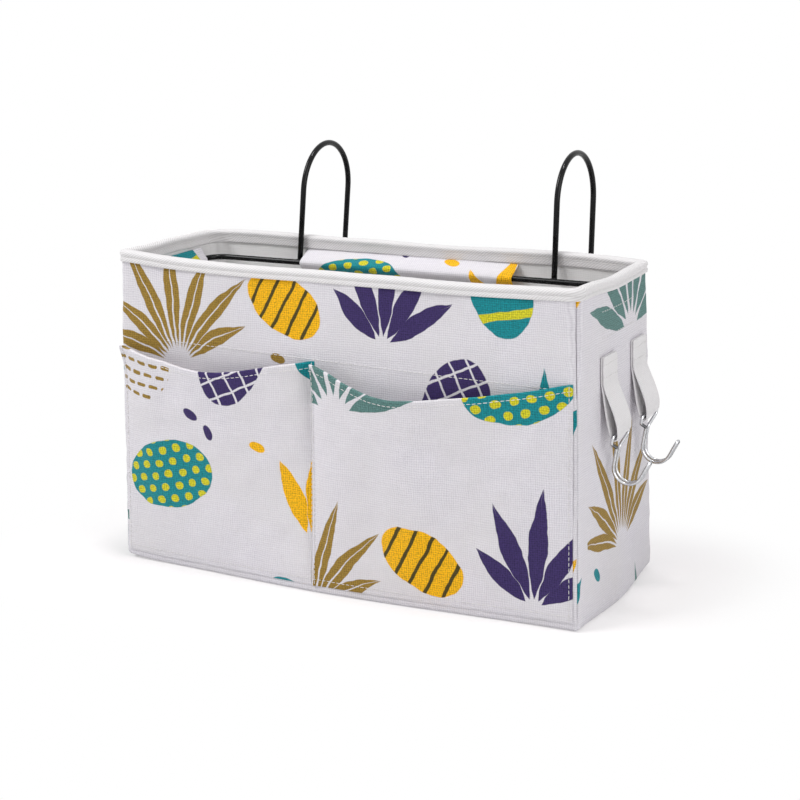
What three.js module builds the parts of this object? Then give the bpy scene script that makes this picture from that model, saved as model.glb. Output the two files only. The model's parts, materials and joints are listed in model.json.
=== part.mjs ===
// Crib organizer: a stiffened cloth bag on a wire frame that hangs on a crib rail by two U hooks.
// Millimetres, +Z up. The front with its pockets faces -Y, the rail side faces +Y, and the side
// with the two small hooks faces +X. The origin is the centre of the bag's bottom face.
import * as THREE from "three";

// Bag: a box that narrows a little from its base to its rim.
const BASE_LENGTH = 300;
const BASE_WIDTH = 116;
const LENGTH_TAPER = 6;
const WIDTH_TAPER = 12;
const BAG_HEIGHT = 190;

// Layers of a wall, from outside to inside, with the play between two layers.
const CLOTH = 0.9;
const BOARD = 1.8;
const LINING = 0.9;
const LAYER_GAP = 0.3;

// Binding tape folded over the rim.
const BINDING_TAPE = 0.8;
const BINDING_OUTER_DEPTH = 7.5;
const BINDING_INNER_DEPTH = 8.5;
const BINDING_EDGE = 1;

// Front pockets: flat where they are sewn, standing off the wall between.
const POCKET_CLOTH = 1;
const POCKET_BOTTOM = 4;
const POCKET_HEIGHT = 132;
const POCKET_SAG = 13;
const POCKET_LOW_POINT = 0.4;
const POCKET_SEAM = 3;
const POCKET_SIDE_MARGIN = 1;
const POCKET_SPLIT_X = -13.3;
const POCKET_SPLIT_GAP = 1.4;
const LEFT_POCKET_BULGE = 13;
const RIGHT_POCKET_BULGE = 15;
const POCKET_FULLNESS = 0.8;

// Frame ring under the rim, and the two rail hooks welded behind its back wire.
const WIRE = 3.5;
const WIRE_GAP = 0.3;
const RING_DROP = 16.5;
const RING_PLAY = 0.6;
const RING_CORNER = 12;
const RAIL_HOOK_LEFT_X = -79;
const RAIL_HOOK_RIGHT_X = 93;
const RAIL_HOOK_LEAN = 5;
const RAIL_HOOK_SPAN = 57;
const RAIL_HOOK_RISE = 73;
const RAIL_HOOK_REAR_DROP = 26;
const RAIL_HOOK_FOOT = 2.2;

// Cloth flaps that come out of the rim seam and hold the ring to the walls.
const FLAP_CLOTH = 1;
const FLAP_PLAY = 0.5;
const FLAP_TAIL = 16;
const FLAP_FALL = 0.6;
const BACK_FLAP_LEFT_PLAY = 1.5;
const BACK_FLAP_LENGTH = 144.5;
const SIDE_FLAP_LENGTH = 46;
const SIDE_FLAP_Y = 5;

// Tape loops on the right wall: a sewn tab, then the hanging loop.
const TAPE = 1.2;
const TAPE_WIDTH = 21;
const LOOP_REAR_INSET = 25;
const LOOP_SPACING = 46;
const TAB_TOP = 147;
const TAB_HEIGHT = 16;
const LOOP_GAP = 0.4;
const LOOP_LENGTH = 28;
const LOOP_EYE_RADIUS = 2;
const LOOP_SLIT_TOP = 6;
const LOOP_SLIT_WIDTH = 0.4;
const LOOP_LEAN = 14;

// Side hooks: a wire eye in the fold of the tape, a double shank and an open hook.
const HOOK_WIRE = 1.8;
const HOOK_TAPE_PLAY = 1.1;
const HOOK_EYE_DROP = 4.2;
const HOOK_EYE_HEIGHT = 9;
const HOOK_EYE_BEND = 2;
const HOOK_SHANK_SPACING = 4.2;
const HOOK_SHANK_LENGTH = 10.5;
const HOOK_BEND_RADIUS = 8.5;
const HOOK_LIP_ANGLE = 72;
const HOOK_LIP_LENGTH = 8;
const HOOK_TILT = 11;

// Faces on the round stretches. A wire's end is rounded in steps of [share of the radius along
// the wire, share of the radius across it].
const WIRE_SIDES = 8;
const WIRE_END = [[0, 0.5], [0.35, 0.87], [1, 1]];
const BEND_STEP = 15;
const FOLD_STEPS = 10;
const POCKET_COLUMNS = 18;
const POCKET_ROWS = 8;
const SAME_POINT = 1e-4;

const radians = THREE.MathUtils.degToRad;
const mix = THREE.MathUtils.lerp;

// Worked out from the values above.
const RIM_LENGTH = BASE_LENGTH - LENGTH_TAPER;
const RIM_WIDTH = BASE_WIDTH - WIDTH_TAPER;
const WALL = CLOTH + LAYER_GAP + BOARD + LAYER_GAP + LINING;
const WALL_TOP = BAG_HEIGHT - BINDING_TAPE - LAYER_GAP;
const BINDING_INSET = WALL + LAYER_GAP + BINDING_TAPE;
const RING_Z = BAG_HEIGHT - RING_DROP;

const printedCloth = new THREE.MeshStandardMaterial({ color: 0xe3e0e1, roughness: 0.95 });
const fibreBoard = new THREE.MeshStandardMaterial({ color: 0xb9a98c, roughness: 0.9 });
const liningCloth = new THREE.MeshStandardMaterial({ color: 0xe9e7e4, roughness: 0.95 });
const twillTape = new THREE.MeshStandardMaterial({ color: 0xece9e2, roughness: 0.9 });
const loopTape = new THREE.MeshStandardMaterial({ color: 0xd9d4cb, roughness: 0.9 });
const blackWire = new THREE.MeshStandardMaterial({ color: 0x151517, roughness: 0.35, metalness: 0.2 });
const chromedWire = new THREE.MeshStandardMaterial({ color: 0xd5d6d8, roughness: 0.15, metalness: 1 });

const organizer = new THREE.Group();
organizer.name = "crib_organizer";

function place(name, geometry, material, parent = organizer) {
  const mesh = new THREE.Mesh(geometry, material);
  mesh.name = name;
  parent.add(mesh);
  return mesh;
}

// Half of the bag's outside length and width at a height.
function halfLength(z) {
  return mix(BASE_LENGTH, RIM_LENGTH, z / BAG_HEIGHT) / 2;
}
function halfWidth(z) {
  return mix(BASE_WIDTH, RIM_WIDTH, z / BAG_HEIGHT) / 2;
}

// A closed body from outlines that follow each other, each a closed loop of points whose first
// half runs alongside its second. The outlines close into a ring, or end in two flat caps.
function loft(outlines, ring = false) {
  const size = outlines[0].length;
  const points = outlines.flat();
  const faces = [];
  const stretches = ring ? outlines.length : outlines.length - 1;
  for (let i = 0; i < stretches; i++) {
    const a = i * size;
    const b = ((i + 1) % outlines.length) * size;
    for (let k = 0; k < size; k++) {
      const next = (k + 1) % size;
      faces.push([a + k, a + next, b + next], [a + k, b + next, b + k]);
    }
  }
  if (!ring) {
    const end = points.length - size;
    for (let k = 0; k < size / 2 - 1; k++) {
      const far = size - 1 - k;
      faces.push([k + 1, k, far], [k + 1, far, far - 1]);
      faces.push([end + k, end + k + 1, end + far - 1], [end + k, end + far - 1, end + far]);
    }
  }
  return outwards(points, faces);
}

// Turns the faces outwards, by the sign of the volume that they enclose.
function outwards(points, faces) {
  let volume = 0;
  for (const [p, q, r] of faces) {
    volume += points[p].dot(points[q].clone().cross(points[r]));
  }
  const turned = volume < 0 ? faces.map(([p, q, r]) => [p, r, q]) : faces;
  const geometry = new THREE.BufferGeometry().setFromPoints(points);
  geometry.setIndex(turned.flat());
  geometry.computeVertexNormals();
  return geometry;
}

// A point of a wall: so far along it, so far in from the outside, at a height.
function onWall(side, along, inset, z) {
  const x = halfLength(z) - inset;
  const y = halfWidth(z) - inset;
  return {
    front: new THREE.Vector3(along, -y, z),
    back: new THREE.Vector3(along, y, z),
    left: new THREE.Vector3(-x, along, z),
    right: new THREE.Vector3(x, along, z),
  }[side];
}

// A flat layer of a wall between two insets and two heights; ends(z) gives where it stops.
function wallLayer(side, from, to, bottom, top, ends) {
  const outlines = [bottom, top].map((z) => {
    const [low, high] = ends(z);
    return [
      onWall(side, low, from, z),
      onWall(side, high, from, z),
      onWall(side, high, to, z),
      onWall(side, low, to, z),
    ];
  });
  return loft(outlines);
}

// Outer cloth, stiffener boards and lining. The front and back run past the ends of the sides,
// and the walls stand on the bottom of their own layer.
const layers = [
  { name: "outer", thickness: CLOTH, material: printedCloth },
  { name: "board", thickness: BOARD, material: fibreBoard },
  { name: "lining", thickness: LINING, material: liningCloth },
];
let inset = 0;
for (const { name, thickness, material } of layers) {
  const from = inset;
  const to = inset + thickness;
  const foot = to + LAYER_GAP;
  const wholeLength = (z) => [from - halfLength(z), halfLength(z) - from];
  const betweenWalls = (z) => [foot - halfWidth(z), halfWidth(z) - foot];
  for (const side of ["front", "back", "left", "right"]) {
    const ends = side === "front" || side === "back" ? wholeLength : betweenWalls;
    place(`${name}_${side}`, wallLayer(side, from, to, foot, WALL_TOP, ends), material);
  }
  const length = 2 * (halfLength(to) - from);
  const width = 2 * (halfWidth(to) - from);
  const bottom = new THREE.BoxGeometry(length, width, thickness).translate(0, 0, (from + to) / 2);
  place(`${name}_bottom`, bottom, material);
  inset = foot;
}

// Binding: one tape over the rim, outer leg, bevelled top and inner leg, all the way round.
function bindingSection() {
  const outside = -LAYER_GAP - BINDING_TAPE;
  const channelTop = WALL_TOP + LAYER_GAP;
  return [
    [outside, BAG_HEIGHT - BINDING_OUTER_DEPTH],
    [outside, BAG_HEIGHT - BINDING_EDGE],
    [outside + BINDING_EDGE, BAG_HEIGHT],
    [BINDING_INSET - BINDING_EDGE, BAG_HEIGHT],
    [BINDING_INSET, BAG_HEIGHT - BINDING_EDGE],
    [BINDING_INSET, BAG_HEIGHT - BINDING_INNER_DEPTH],
    [WALL + LAYER_GAP, BAG_HEIGHT - BINDING_INNER_DEPTH],
    [WALL + LAYER_GAP, channelTop],
    [-LAYER_GAP, channelTop],
    [-LAYER_GAP, BAG_HEIGHT - BINDING_OUTER_DEPTH],
  ];
}
const rimCorners = [[1, -1], [1, 1], [-1, 1], [-1, -1]];
const bindingOutlines = rimCorners.map(([right, rear]) =>
  bindingSection().map(
    ([deep, z]) => new THREE.Vector3(right * (halfLength(z) - deep), rear * (halfWidth(z) - deep), z),
  ),
);
place("rim_binding", loft(bindingOutlines, true), twillTape);

// Pockets: sewn flat at both sides and the bottom, bowed out and sagging along the open top.
function evenSteps(from, to, count) {
  return Array.from({ length: count + 1 }, (_, i) => mix(from, to, i / count));
}
function pocket(lowEnd, highEnd, bulge) {
  const warp = Math.log(0.5) / Math.log(POCKET_LOW_POINT);
  const bow = (share) => Math.sin(Math.PI * THREE.MathUtils.clamp(share, 0, 1) ** warp);
  const width = highEnd(POCKET_BOTTOM) - lowEnd(POCKET_BOTTOM);
  const seam = POCKET_SEAM / width;
  const columns = [0, ...evenSteps(seam, 1 - seam, POCKET_COLUMNS), 1];
  const outlines = columns.map((u) => {
    const loose = bow((u - seam) / (1 - 2 * seam));
    const top = POCKET_BOTTOM + POCKET_HEIGHT - POCKET_SAG * loose;
    const heights = [POCKET_BOTTOM, ...evenSteps(POCKET_BOTTOM + POCKET_SEAM, top, POCKET_ROWS)];
    const sheet = (thickness) =>
      heights.map((z) => {
        const rise = Math.max(0, (z - POCKET_BOTTOM - POCKET_SEAM) / (POCKET_HEIGHT - POCKET_SEAM));
        const off = LAYER_GAP + bulge * (loose * rise) ** POCKET_FULLNESS + thickness;
        return onWall("front", mix(lowEnd(z), highEnd(z), u), -off, z);
      });
    return [...sheet(0), ...sheet(POCKET_CLOTH).reverse()];
  });
  return loft(outlines);
}
const pocketOuterEnd = (z) => halfLength(z) - POCKET_SIDE_MARGIN;
const leftPocketEnd = () => POCKET_SPLIT_X - POCKET_SPLIT_GAP / 2;
const rightPocketStart = () => POCKET_SPLIT_X + POCKET_SPLIT_GAP / 2;
place("pocket_left", pocket((z) => -pocketOuterEnd(z), leftPocketEnd, LEFT_POCKET_BULGE), printedCloth);
place("pocket_right", pocket(rightPocketStart, pocketOuterEnd, RIGHT_POCKET_BULGE), printedCloth);

// A run of points with its corners rounded: each corner is [point, bend radius].
function bend(corners, ring = false) {
  const path = [];
  const add = (point) => {
    if (!path.length || path.at(-1).distanceTo(point) > SAME_POINT) path.push(point);
  };
  corners.forEach(([at, radius], i) => {
    const before = corners[i - 1] ?? (ring ? corners.at(-1) : undefined);
    const after = corners[i + 1] ?? (ring ? corners[0] : undefined);
    if (!radius || !before || !after) {
      add(at);
      return;
    }
    const arriving = at.clone().sub(before[0]).normalize();
    const leaving = after[0].clone().sub(at).normalize();
    const turn = arriving.angleTo(leaving);
    const inward = leaving.clone().addScaledVector(arriving, -arriving.dot(leaving)).normalize();
    const start = at.clone().addScaledVector(arriving, -radius * Math.tan(turn / 2));
    const centre = start.addScaledVector(inward, radius);
    const steps = Math.ceil(turn / radians(BEND_STEP));
    for (let k = 0; k <= steps; k++) {
      const angle = (turn * k) / steps;
      const point = centre.clone().addScaledVector(inward, -radius * Math.cos(angle));
      add(point.addScaledVector(arriving, radius * Math.sin(angle)));
    }
  });
  if (ring && path[0].distanceTo(path.at(-1)) < SAME_POINT) path.pop();
  return path;
}

// Round wire along a path. A ring closes on itself; an open wire has rounded ends.
function wire(path, diameter, ring = false) {
  const radius = diameter / 2;
  const count = path.length;
  const heading = path.map((point, i) => {
    const before = path[i - 1] ?? (ring ? path[count - 1] : point);
    const after = path[i + 1] ?? (ring ? path[0] : point);
    const arriving = point.clone().sub(before).normalize();
    const leaving = after.clone().sub(point).normalize();
    return arriving.add(leaving).normalize();
  });
  const lift = Math.abs(heading[0].x) < 0.9 ? new THREE.Vector3(1, 0, 0) : new THREE.Vector3(0, 1, 0);
  const across = [lift.addScaledVector(heading[0], -lift.dot(heading[0])).normalize()];
  for (let i = 1; i < count; i++) {
    const turn = new THREE.Quaternion().setFromUnitVectors(heading[i - 1], heading[i]);
    across.push(across[i - 1].clone().applyQuaternion(turn));
  }
  let twist = 0;
  if (ring) {
    const turn = new THREE.Quaternion().setFromUnitVectors(heading[count - 1], heading[0]);
    const back = across[count - 1].clone().applyQuaternion(turn);
    twist = Math.atan2(back.clone().cross(across[0]).dot(heading[0]), back.dot(across[0]));
  }
  const section = (centre, i, size) => {
    const side = across[i].clone().applyAxisAngle(heading[i], (twist * i) / count);
    return Array.from({ length: WIRE_SIDES }, (_, k) => {
      const angle = (2 * Math.PI * k) / WIRE_SIDES;
      return side.clone().applyAxisAngle(heading[i], angle).multiplyScalar(size).add(centre);
    });
  };
  const outlines = path.map((point, i) => section(point, i, radius));
  if (ring) return loft(outlines, true);
  const rounded = (i, inwards) =>
    WIRE_END.map(([along, share]) => {
      const centre = path[i].clone().addScaledVector(heading[i], inwards * along * radius);
      return section(centre, i, share * radius);
    });
  outlines.splice(0, 1, ...rounded(0, 1));
  outlines.splice(-1, 1, ...rounded(count - 1, -1).reverse());
  return loft(outlines);
}

// Frame ring: level, close to three walls; its back wire stands off by what the leaning legs
// of the rail hooks need to clear the rim.
const lean = radians(RAIL_HOOK_LEAN);
const touchZ = BAG_HEIGHT - BINDING_EDGE;
const touchY = halfWidth(touchZ) - BINDING_INSET - WIRE_GAP - WIRE / 2 / Math.cos(lean);
const legFootY = touchY - (touchZ - RING_Z) * Math.tan(lean);
const ringBackY = legFootY - WIRE_GAP - WIRE;
const ringFrontY = -(halfWidth(RING_Z) - WALL - RING_PLAY - WIRE / 2);
const ringEndX = halfLength(RING_Z) - WALL - RING_PLAY - WIRE / 2;
const ringCorners = [
  [-ringEndX, ringBackY],
  [-ringEndX, ringFrontY],
  [ringEndX, ringFrontY],
  [ringEndX, ringBackY],
].map(([x, y]) => [new THREE.Vector3(x, y, RING_Z), RING_CORNER]);
place("frame_ring", wire(bend(ringCorners, true), WIRE, true), blackWire);

// Rail hooks: up from the ring, over the rail in a half circle, and down behind it.
const railHooks = { rail_hook_left: RAIL_HOOK_LEFT_X, rail_hook_right: RAIL_HOOK_RIGHT_X };
for (const [name, x] of Object.entries(railHooks)) {
  const path = bend([
    [new THREE.Vector3(0, 0, -RAIL_HOOK_FOOT), 0],
    [new THREE.Vector3(0, 0, RAIL_HOOK_RISE), RAIL_HOOK_SPAN / 2],
    [new THREE.Vector3(0, RAIL_HOOK_SPAN, RAIL_HOOK_RISE), RAIL_HOOK_SPAN / 2],
    [new THREE.Vector3(0, RAIL_HOOK_SPAN, -RAIL_HOOK_REAR_DROP), 0],
  ]);
  const hook = place(name, wire(path, WIRE), blackWire);
  hook.position.set(x, legFootY, RING_Z);
  hook.rotation.x = -lean;
}

// Flaps: from under the binding over the ring, back to the wall and down it to a sewn tail.
function flap(side, wireInset, low, high) {
  const atWall = WALL + LAYER_GAP;
  const overWire = wireInset + WIRE / 2 + FLAP_PLAY;
  const underWire = RING_Z - WIRE / 2;
  const line = [
    [atWall, BAG_HEIGHT - BINDING_INNER_DEPTH - FLAP_CLOTH - LAYER_GAP],
    [overWire, RING_Z + WIRE / 2],
    [overWire, underWire],
    [atWall, underWire - FLAP_FALL * (overWire - atWall)],
    [atWall, RING_Z - FLAP_TAIL],
  ].map(([deep, z]) => new THREE.Vector2(deep, z));
  const inner = line.map((point, i) => {
    const arriving = point.clone().sub(line[i - 1] ?? point).normalize();
    const leaving = (line[i + 1] ?? point).clone().sub(point).normalize();
    const along = arriving.clone().add(leaving).normalize();
    const square = i === 0 || i === line.length - 1 ? 1 : along.dot(leaving);
    return new THREE.Vector2(-along.y, along.x).multiplyScalar(FLAP_CLOTH / square).add(point);
  });
  const outline = [...line, ...inner.reverse()];
  return loft([low, high].map((along) => outline.map((point) => onWall(side, along, point.x, point.y))));
}
const backFlapStart = RAIL_HOOK_LEFT_X + WIRE / 2 + BACK_FLAP_LEFT_PLAY;
const backWireInset = halfWidth(RING_Z) - ringBackY;
const sideWireInset = halfLength(RING_Z) - ringEndX;
const sideFlapEnds = [SIDE_FLAP_Y - SIDE_FLAP_LENGTH / 2, SIDE_FLAP_Y + SIDE_FLAP_LENGTH / 2];
place("flap_back", flap("back", backWireInset, backFlapStart, backFlapStart + BACK_FLAP_LENGTH), printedCloth);
place("flap_left", flap("left", sideWireInset, ...sideFlapEnds), printedCloth);
place("flap_right", flap("right", sideWireInset, ...sideFlapEnds), printedCloth);

// Tape loop, in its own frame: it hangs from the outer face of its sewn tab, with the slit
// between its two layers widening to the fold that the hook's eye bar lies in.
const foldCentre = -LOOP_LENGTH + LOOP_EYE_RADIUS - HOOK_WIRE / 2 - WIRE_GAP;
function tapeLoop() {
  const fold = LOOP_EYE_RADIUS + TAPE;
  const shape = new THREE.Shape();
  shape.moveTo(-TAPE, -LOOP_GAP);
  shape.lineTo(-fold, foldCentre);
  shape.absarc(0, foldCentre, fold, Math.PI, 2 * Math.PI, false);
  shape.lineTo(TAPE, -LOOP_GAP);
  const slit = new THREE.Path();
  slit.moveTo(-LOOP_SLIT_WIDTH / 2, -LOOP_SLIT_TOP);
  slit.lineTo(-LOOP_EYE_RADIUS, foldCentre);
  slit.absarc(0, foldCentre, LOOP_EYE_RADIUS, Math.PI, 2 * Math.PI, false);
  slit.lineTo(LOOP_SLIT_WIDTH / 2, -LOOP_SLIT_TOP);
  shape.holes.push(slit);
  const options = { depth: TAPE_WIDTH, bevelEnabled: false, curveSegments: FOLD_STEPS };
  const geometry = new THREE.ExtrudeGeometry(shape, options);
  return geometry.translate(-TAPE, 0, -TAPE_WIDTH / 2).rotateX(Math.PI / 2);
}

// Side hook, in its own frame: the eye bar lies along Y through the origin, the shank hangs
// down, and the hook opens towards +X.
function sideHook() {
  const eye = TAPE_WIDTH / 2 + HOOK_TAPE_PLAY + HOOK_WIRE / 2;
  const shank = HOOK_SHANK_SPACING / 2;
  const lip = new THREE.Vector3(Math.cos(radians(HOOK_LIP_ANGLE)), 0, Math.sin(radians(HOOK_LIP_ANGLE)));
  const reach = HOOK_BEND_RADIUS * Math.tan(radians(90 + HOOK_LIP_ANGLE) / 2);
  const turning = -HOOK_EYE_HEIGHT - HOOK_SHANK_LENGTH - reach;
  const tip = lip.clone().multiplyScalar(reach + HOOK_LIP_LENGTH + shank);
  const half = [
    [0, eye, 0, HOOK_EYE_BEND],
    [0, eye, -HOOK_EYE_DROP, HOOK_EYE_BEND],
    [0, shank, -HOOK_EYE_HEIGHT, HOOK_EYE_BEND],
    [0, shank, turning, HOOK_BEND_RADIUS],
    [tip.x, shank, turning + tip.z, shank],
  ];
  const other = half.map(([x, y, z, radius]) => [x, -y, z, radius]).reverse();
  const corners = [...half, ...other].map(([x, y, z, radius]) => [new THREE.Vector3(x, y, z), radius]);
  return wire(bend(corners, true), HOOK_WIRE, true);
}

// The loop's lean and the hook's tilt are taken from the wall that they hang beside.
const wallSlope = Math.atan(LENGTH_TAPER / 2 / BAG_HEIGHT);
const rearLoopY = BASE_WIDTH / 2 - LOOP_REAR_INSET;
const loopYs = { front: rearLoopY - LOOP_SPACING, rear: rearLoopY };
for (const [which, y] of Object.entries(loopYs)) {
  const outerFace = LAYER_GAP + 2 * TAPE;
  const ends = () => [y - TAPE_WIDTH / 2, y + TAPE_WIDTH / 2];
  const tabBottom = TAB_TOP - TAB_HEIGHT;
  place(`loop_tab_${which}`, wallLayer("right", -outerFace, -LAYER_GAP, tabBottom, TAB_TOP, ends), loopTape);

  const hanging = new THREE.Group();
  hanging.position.copy(onWall("right", y, -outerFace, tabBottom));
  hanging.rotation.y = -wallSlope - radians(LOOP_LEAN);
  organizer.add(hanging);
  place(`tape_loop_${which}`, tapeLoop(), loopTape, hanging);

  const hook = place(`side_hook_${which}`, sideHook(), chromedWire, hanging);
  hook.position.set(-TAPE, 0, -LOOP_LENGTH);
  hook.rotation.y = radians(LOOP_LEAN + HOOK_TILT);
}

export default organizer;
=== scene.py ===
import json
import math
from functools import partial

import bmesh
import bpy
import numpy as np
from mathutils import Matrix, Vector, noise


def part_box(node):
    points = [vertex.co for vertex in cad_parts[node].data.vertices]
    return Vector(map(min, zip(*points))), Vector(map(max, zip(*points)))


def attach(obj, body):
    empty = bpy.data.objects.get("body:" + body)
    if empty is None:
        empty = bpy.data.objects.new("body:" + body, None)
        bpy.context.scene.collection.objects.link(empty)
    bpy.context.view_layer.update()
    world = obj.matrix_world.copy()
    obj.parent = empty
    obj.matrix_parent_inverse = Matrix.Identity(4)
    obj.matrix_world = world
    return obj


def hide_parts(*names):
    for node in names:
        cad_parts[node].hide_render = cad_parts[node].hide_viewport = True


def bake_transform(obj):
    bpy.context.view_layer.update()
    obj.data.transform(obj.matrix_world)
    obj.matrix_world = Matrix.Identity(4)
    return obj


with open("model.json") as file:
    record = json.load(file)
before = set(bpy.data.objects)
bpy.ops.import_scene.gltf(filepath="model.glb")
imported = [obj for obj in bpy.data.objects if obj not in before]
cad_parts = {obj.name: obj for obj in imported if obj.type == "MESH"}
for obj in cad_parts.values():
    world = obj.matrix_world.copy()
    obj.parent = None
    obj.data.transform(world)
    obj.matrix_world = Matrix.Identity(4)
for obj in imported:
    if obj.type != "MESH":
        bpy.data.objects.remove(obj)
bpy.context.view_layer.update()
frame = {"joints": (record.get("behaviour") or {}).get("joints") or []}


# Camera: it stands to the front right of the bag, a little above the rim, and sees about 25
# degrees. The bag stands a little below the middle of its view.
MM = 0.001
CAMERA_AZIMUTH = math.radians(27.82)
CAMERA_ELEVATION = math.radians(14.69)
CAMERA_ROLL = math.radians(-1.17)
CAMERA_DISTANCE = 1086.4 * MM
CAMERA_ASIDE = 11 * MM
CAMERA_ABOVE = 7 * MM
BAG_MIDDLE = Vector((0, 0, 95 * MM))
LENS_MM = 81.9
scene = bpy.context.scene


def new_object(name, data):
    """A new object in the scene, at the origin."""
    made = bpy.data.objects.new(name, data)
    scene.collection.objects.link(made)
    return made


backward = Vector((
    math.sin(CAMERA_AZIMUTH) * math.cos(CAMERA_ELEVATION),
    -math.cos(CAMERA_AZIMUTH) * math.cos(CAMERA_ELEVATION),
    math.sin(CAMERA_ELEVATION),
))
level_right = Vector((0, 0, 1)).cross(backward).normalized()
level_up = backward.cross(level_right)
roll = Matrix.Rotation(CAMERA_ROLL, 3, backward)
rightward, upward = roll @ level_right, roll @ level_up
camera_place = (
    BAG_MIDDLE + backward * CAMERA_DISTANCE + rightward * CAMERA_ASIDE + upward * CAMERA_ABOVE
)
camera = new_object("camera", bpy.data.cameras.new("camera"))
camera.data.lens = LENS_MM
camera.data.clip_start = 10 * MM
camera.matrix_world = (
    Matrix.Translation(camera_place) @ Matrix((rightward, upward, backward)).transposed().to_4x4()
)
scene.camera = camera
scene.view_settings.view_transform = "Standard"


# Studio: a white table in a white room, a soft lamp high at the left, and weaker ones at the
# right and above. The table shows only the shadow that the bag leaves on it.
def linear(code):
    """An sRGB hex colour as linear RGBA."""
    parts = [int(code[i:i + 2], 16) / 255 for i in (1, 3, 5)]
    return [c / 12.92 if c <= 0.04045 else ((c + 0.055) / 1.055) ** 2.4 for c in parts] + [1]


def add(tree, kind, *values, output=0, **named):
    """Adds one node and gives one output. A kind in capitals is a sum, of vectors if it says
    so. Inputs come in order or by capitalised names, settings by small ones, colours as codes."""
    if kind.isupper():
        named["operation"] = kind.split()[-1]
        kind = "VectorMath" if kind.startswith("VECTOR") else "Math"
    made = tree.nodes.new(kind if "Node" in kind else "ShaderNode" + kind)
    for name in filter(str.islower, named):
        setattr(made, name, named[name])
    known = {socket.identifier: socket for socket in made.inputs}
    inputs = list(zip(made.inputs, values))
    inputs += [(known.get(name) or made.inputs[name.replace("_", " ")], value)
               for name, value in named.items() if not name.islower()]
    for socket, value in inputs:
        if isinstance(value, bpy.types.NodeSocket):
            tree.links.new(value, socket)
        else:
            socket.default_value = linear(value) if isinstance(value, str) else value
    return made.outputs[output] if made.outputs else made


def empty_tree(owner):
    """Clears the nodes of a material or a world, and gives what adds new ones to it."""
    owner.use_nodes = True
    owner.node_tree.nodes.clear()
    return partial(add, owner.node_tree)


def new_material(name):
    """An empty material, and what adds nodes to it."""
    material = bpy.data.materials.new(name)
    return material, empty_tree(material)


def lamp(name, place, size, power):
    """A square soft lamp that faces the bag."""
    light = bpy.data.lights.new(name, "AREA")
    light.size = size
    light.energy = power
    facing = (BAG_MIDDLE - Vector(place)).to_track_quat("-Z", "Y").to_matrix().to_4x4()
    new_object(name, light).matrix_world = Matrix.Translation(place) @ facing


lamp("key_lamp", (-1.2, -1.0, 1.8), 1.0, 27)
lamp("fill_lamp", (1.9, -0.6, 1.0), 1.4, 12.5)
lamp("top_lamp", (0.1, 0.0, 2.0), 0.3, 9)

ROOM_LIGHT = 0.4
scene.world = bpy.data.worlds.new("white_room")
node = empty_tree(scene.world)
rays = node("LightPath").node.outputs
seen = node("MAXIMUM", rays["Is Camera Ray"], rays["Is Transmission Ray"])
seen = node("MAXIMUM", seen, rays["Is Glossy Ray"])
strength = node("MapRange", seen, 0, 1, ROOM_LIGHT, 1)
node("OutputWorld", node("Background", "#FFFFFF", strength))

# White paint, matt and clean: near the bag it takes the bag's shadow, and further off it is
# as white as the room.
TABLE_HALF = 3.0
TABLE_WHITE = 0.38
TABLE_GRAIN = 25 * MM
BAG_HALF_PLAN = (150 * MM, 58 * MM, 0.0)
SHADOW_REACH = (10 * MM, 100 * MM)
table_paint, node = new_material("white_table_paint")
place = node("TexCoord", output="Object")
grain = node("TexNoise", Vector=place, Scale=1 / TABLE_GRAIN, Detail=3.0)
roughness = node("MapRange", grain, 0, 1, 0.85, 0.95)
plain = node("BsdfDiffuse", "#F4F4F4", roughness)
shadowed = node("BsdfDiffuse", "#D2CFD0", roughness)
near_table = node("AddShader", shadowed, node("Emission", "#FFFFFF", TABLE_WHITE))
far_table = node("Emission", "#FFFFFF", 1.0)
beyond = node("VECTOR SUBTRACT", node("VECTOR ABSOLUTE", place), BAG_HALF_PLAN)
beyond = node("VECTOR MAXIMUM", beyond, (0.0, 0.0, 0.0))
from_bag = node("VECTOR LENGTH", beyond, output="Value")
farness = node("MapRange", from_bag, *SHADOW_REACH, 0.0, 1.0, interpolation_type="SMOOTHSTEP")
white_table = node("MixShader", farness, near_table, far_table)
rays = node("LightPath").node.outputs
node("OutputMaterial", node("MixShader", rays["Is Camera Ray"], plain, white_table))
table_mesh = bpy.data.meshes.new("table")
table_mesh.from_pydata(
    [(x, y, 0) for x, y in ((-1, -1), (1, -1), (1, 1), (-1, 1))], [], [(0, 1, 2, 3)])
table_mesh.transform(Matrix.Scale(TABLE_HALF, 4))
table_mesh.materials.append(table_paint)
new_object("table", table_mesh)


# Bag cloth: five panels of printed cotton-linen, sewn together at the four upright corners and
# round the bottom, and drawn over stiff boards. Each corner seam lies in a shallow groove.
BASE_HALF_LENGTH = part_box("outer_bottom")[1].x
BASE_HALF_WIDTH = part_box("outer_bottom")[1].y
BAG_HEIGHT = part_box("rim_binding")[1].z
LENGTH_TAPER = 6 * MM
WIDTH_TAPER = 12 * MM
CLOTH = 0.9 * MM
CORNER_RADIUS = 2.4 * MM
RIM_ROUNDINGS = {(-1, -1): 2 * MM, (1, -1): 5 * MM, (1, 1): 1.5 * MM, (-1, 1): 14 * MM}
ROUNDING_START = 100 * MM
BASE_ROUNDING = 2.6 * MM
SEAM_GROOVE = 0.8 * MM
GROOVE_START = 9 * MM
RIM_TUCK = 1.5 * MM
BAG_ROWS, BAG_SPACING = 66, 2.9 * MM
# How far each corner of the base stands up, and how far along the base that reaches.
CORNER_LIFTS = {
    (-1, -1): (2.6 * MM, 13 * MM),
    (1, -1): (0.4 * MM, 10 * MM),
    (1, 1): (3.0 * MM, 26 * MM),
    (-1, 1): (2.0 * MM, 14 * MM),
}
LIFT_HEIGHT = 30 * MM
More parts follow.
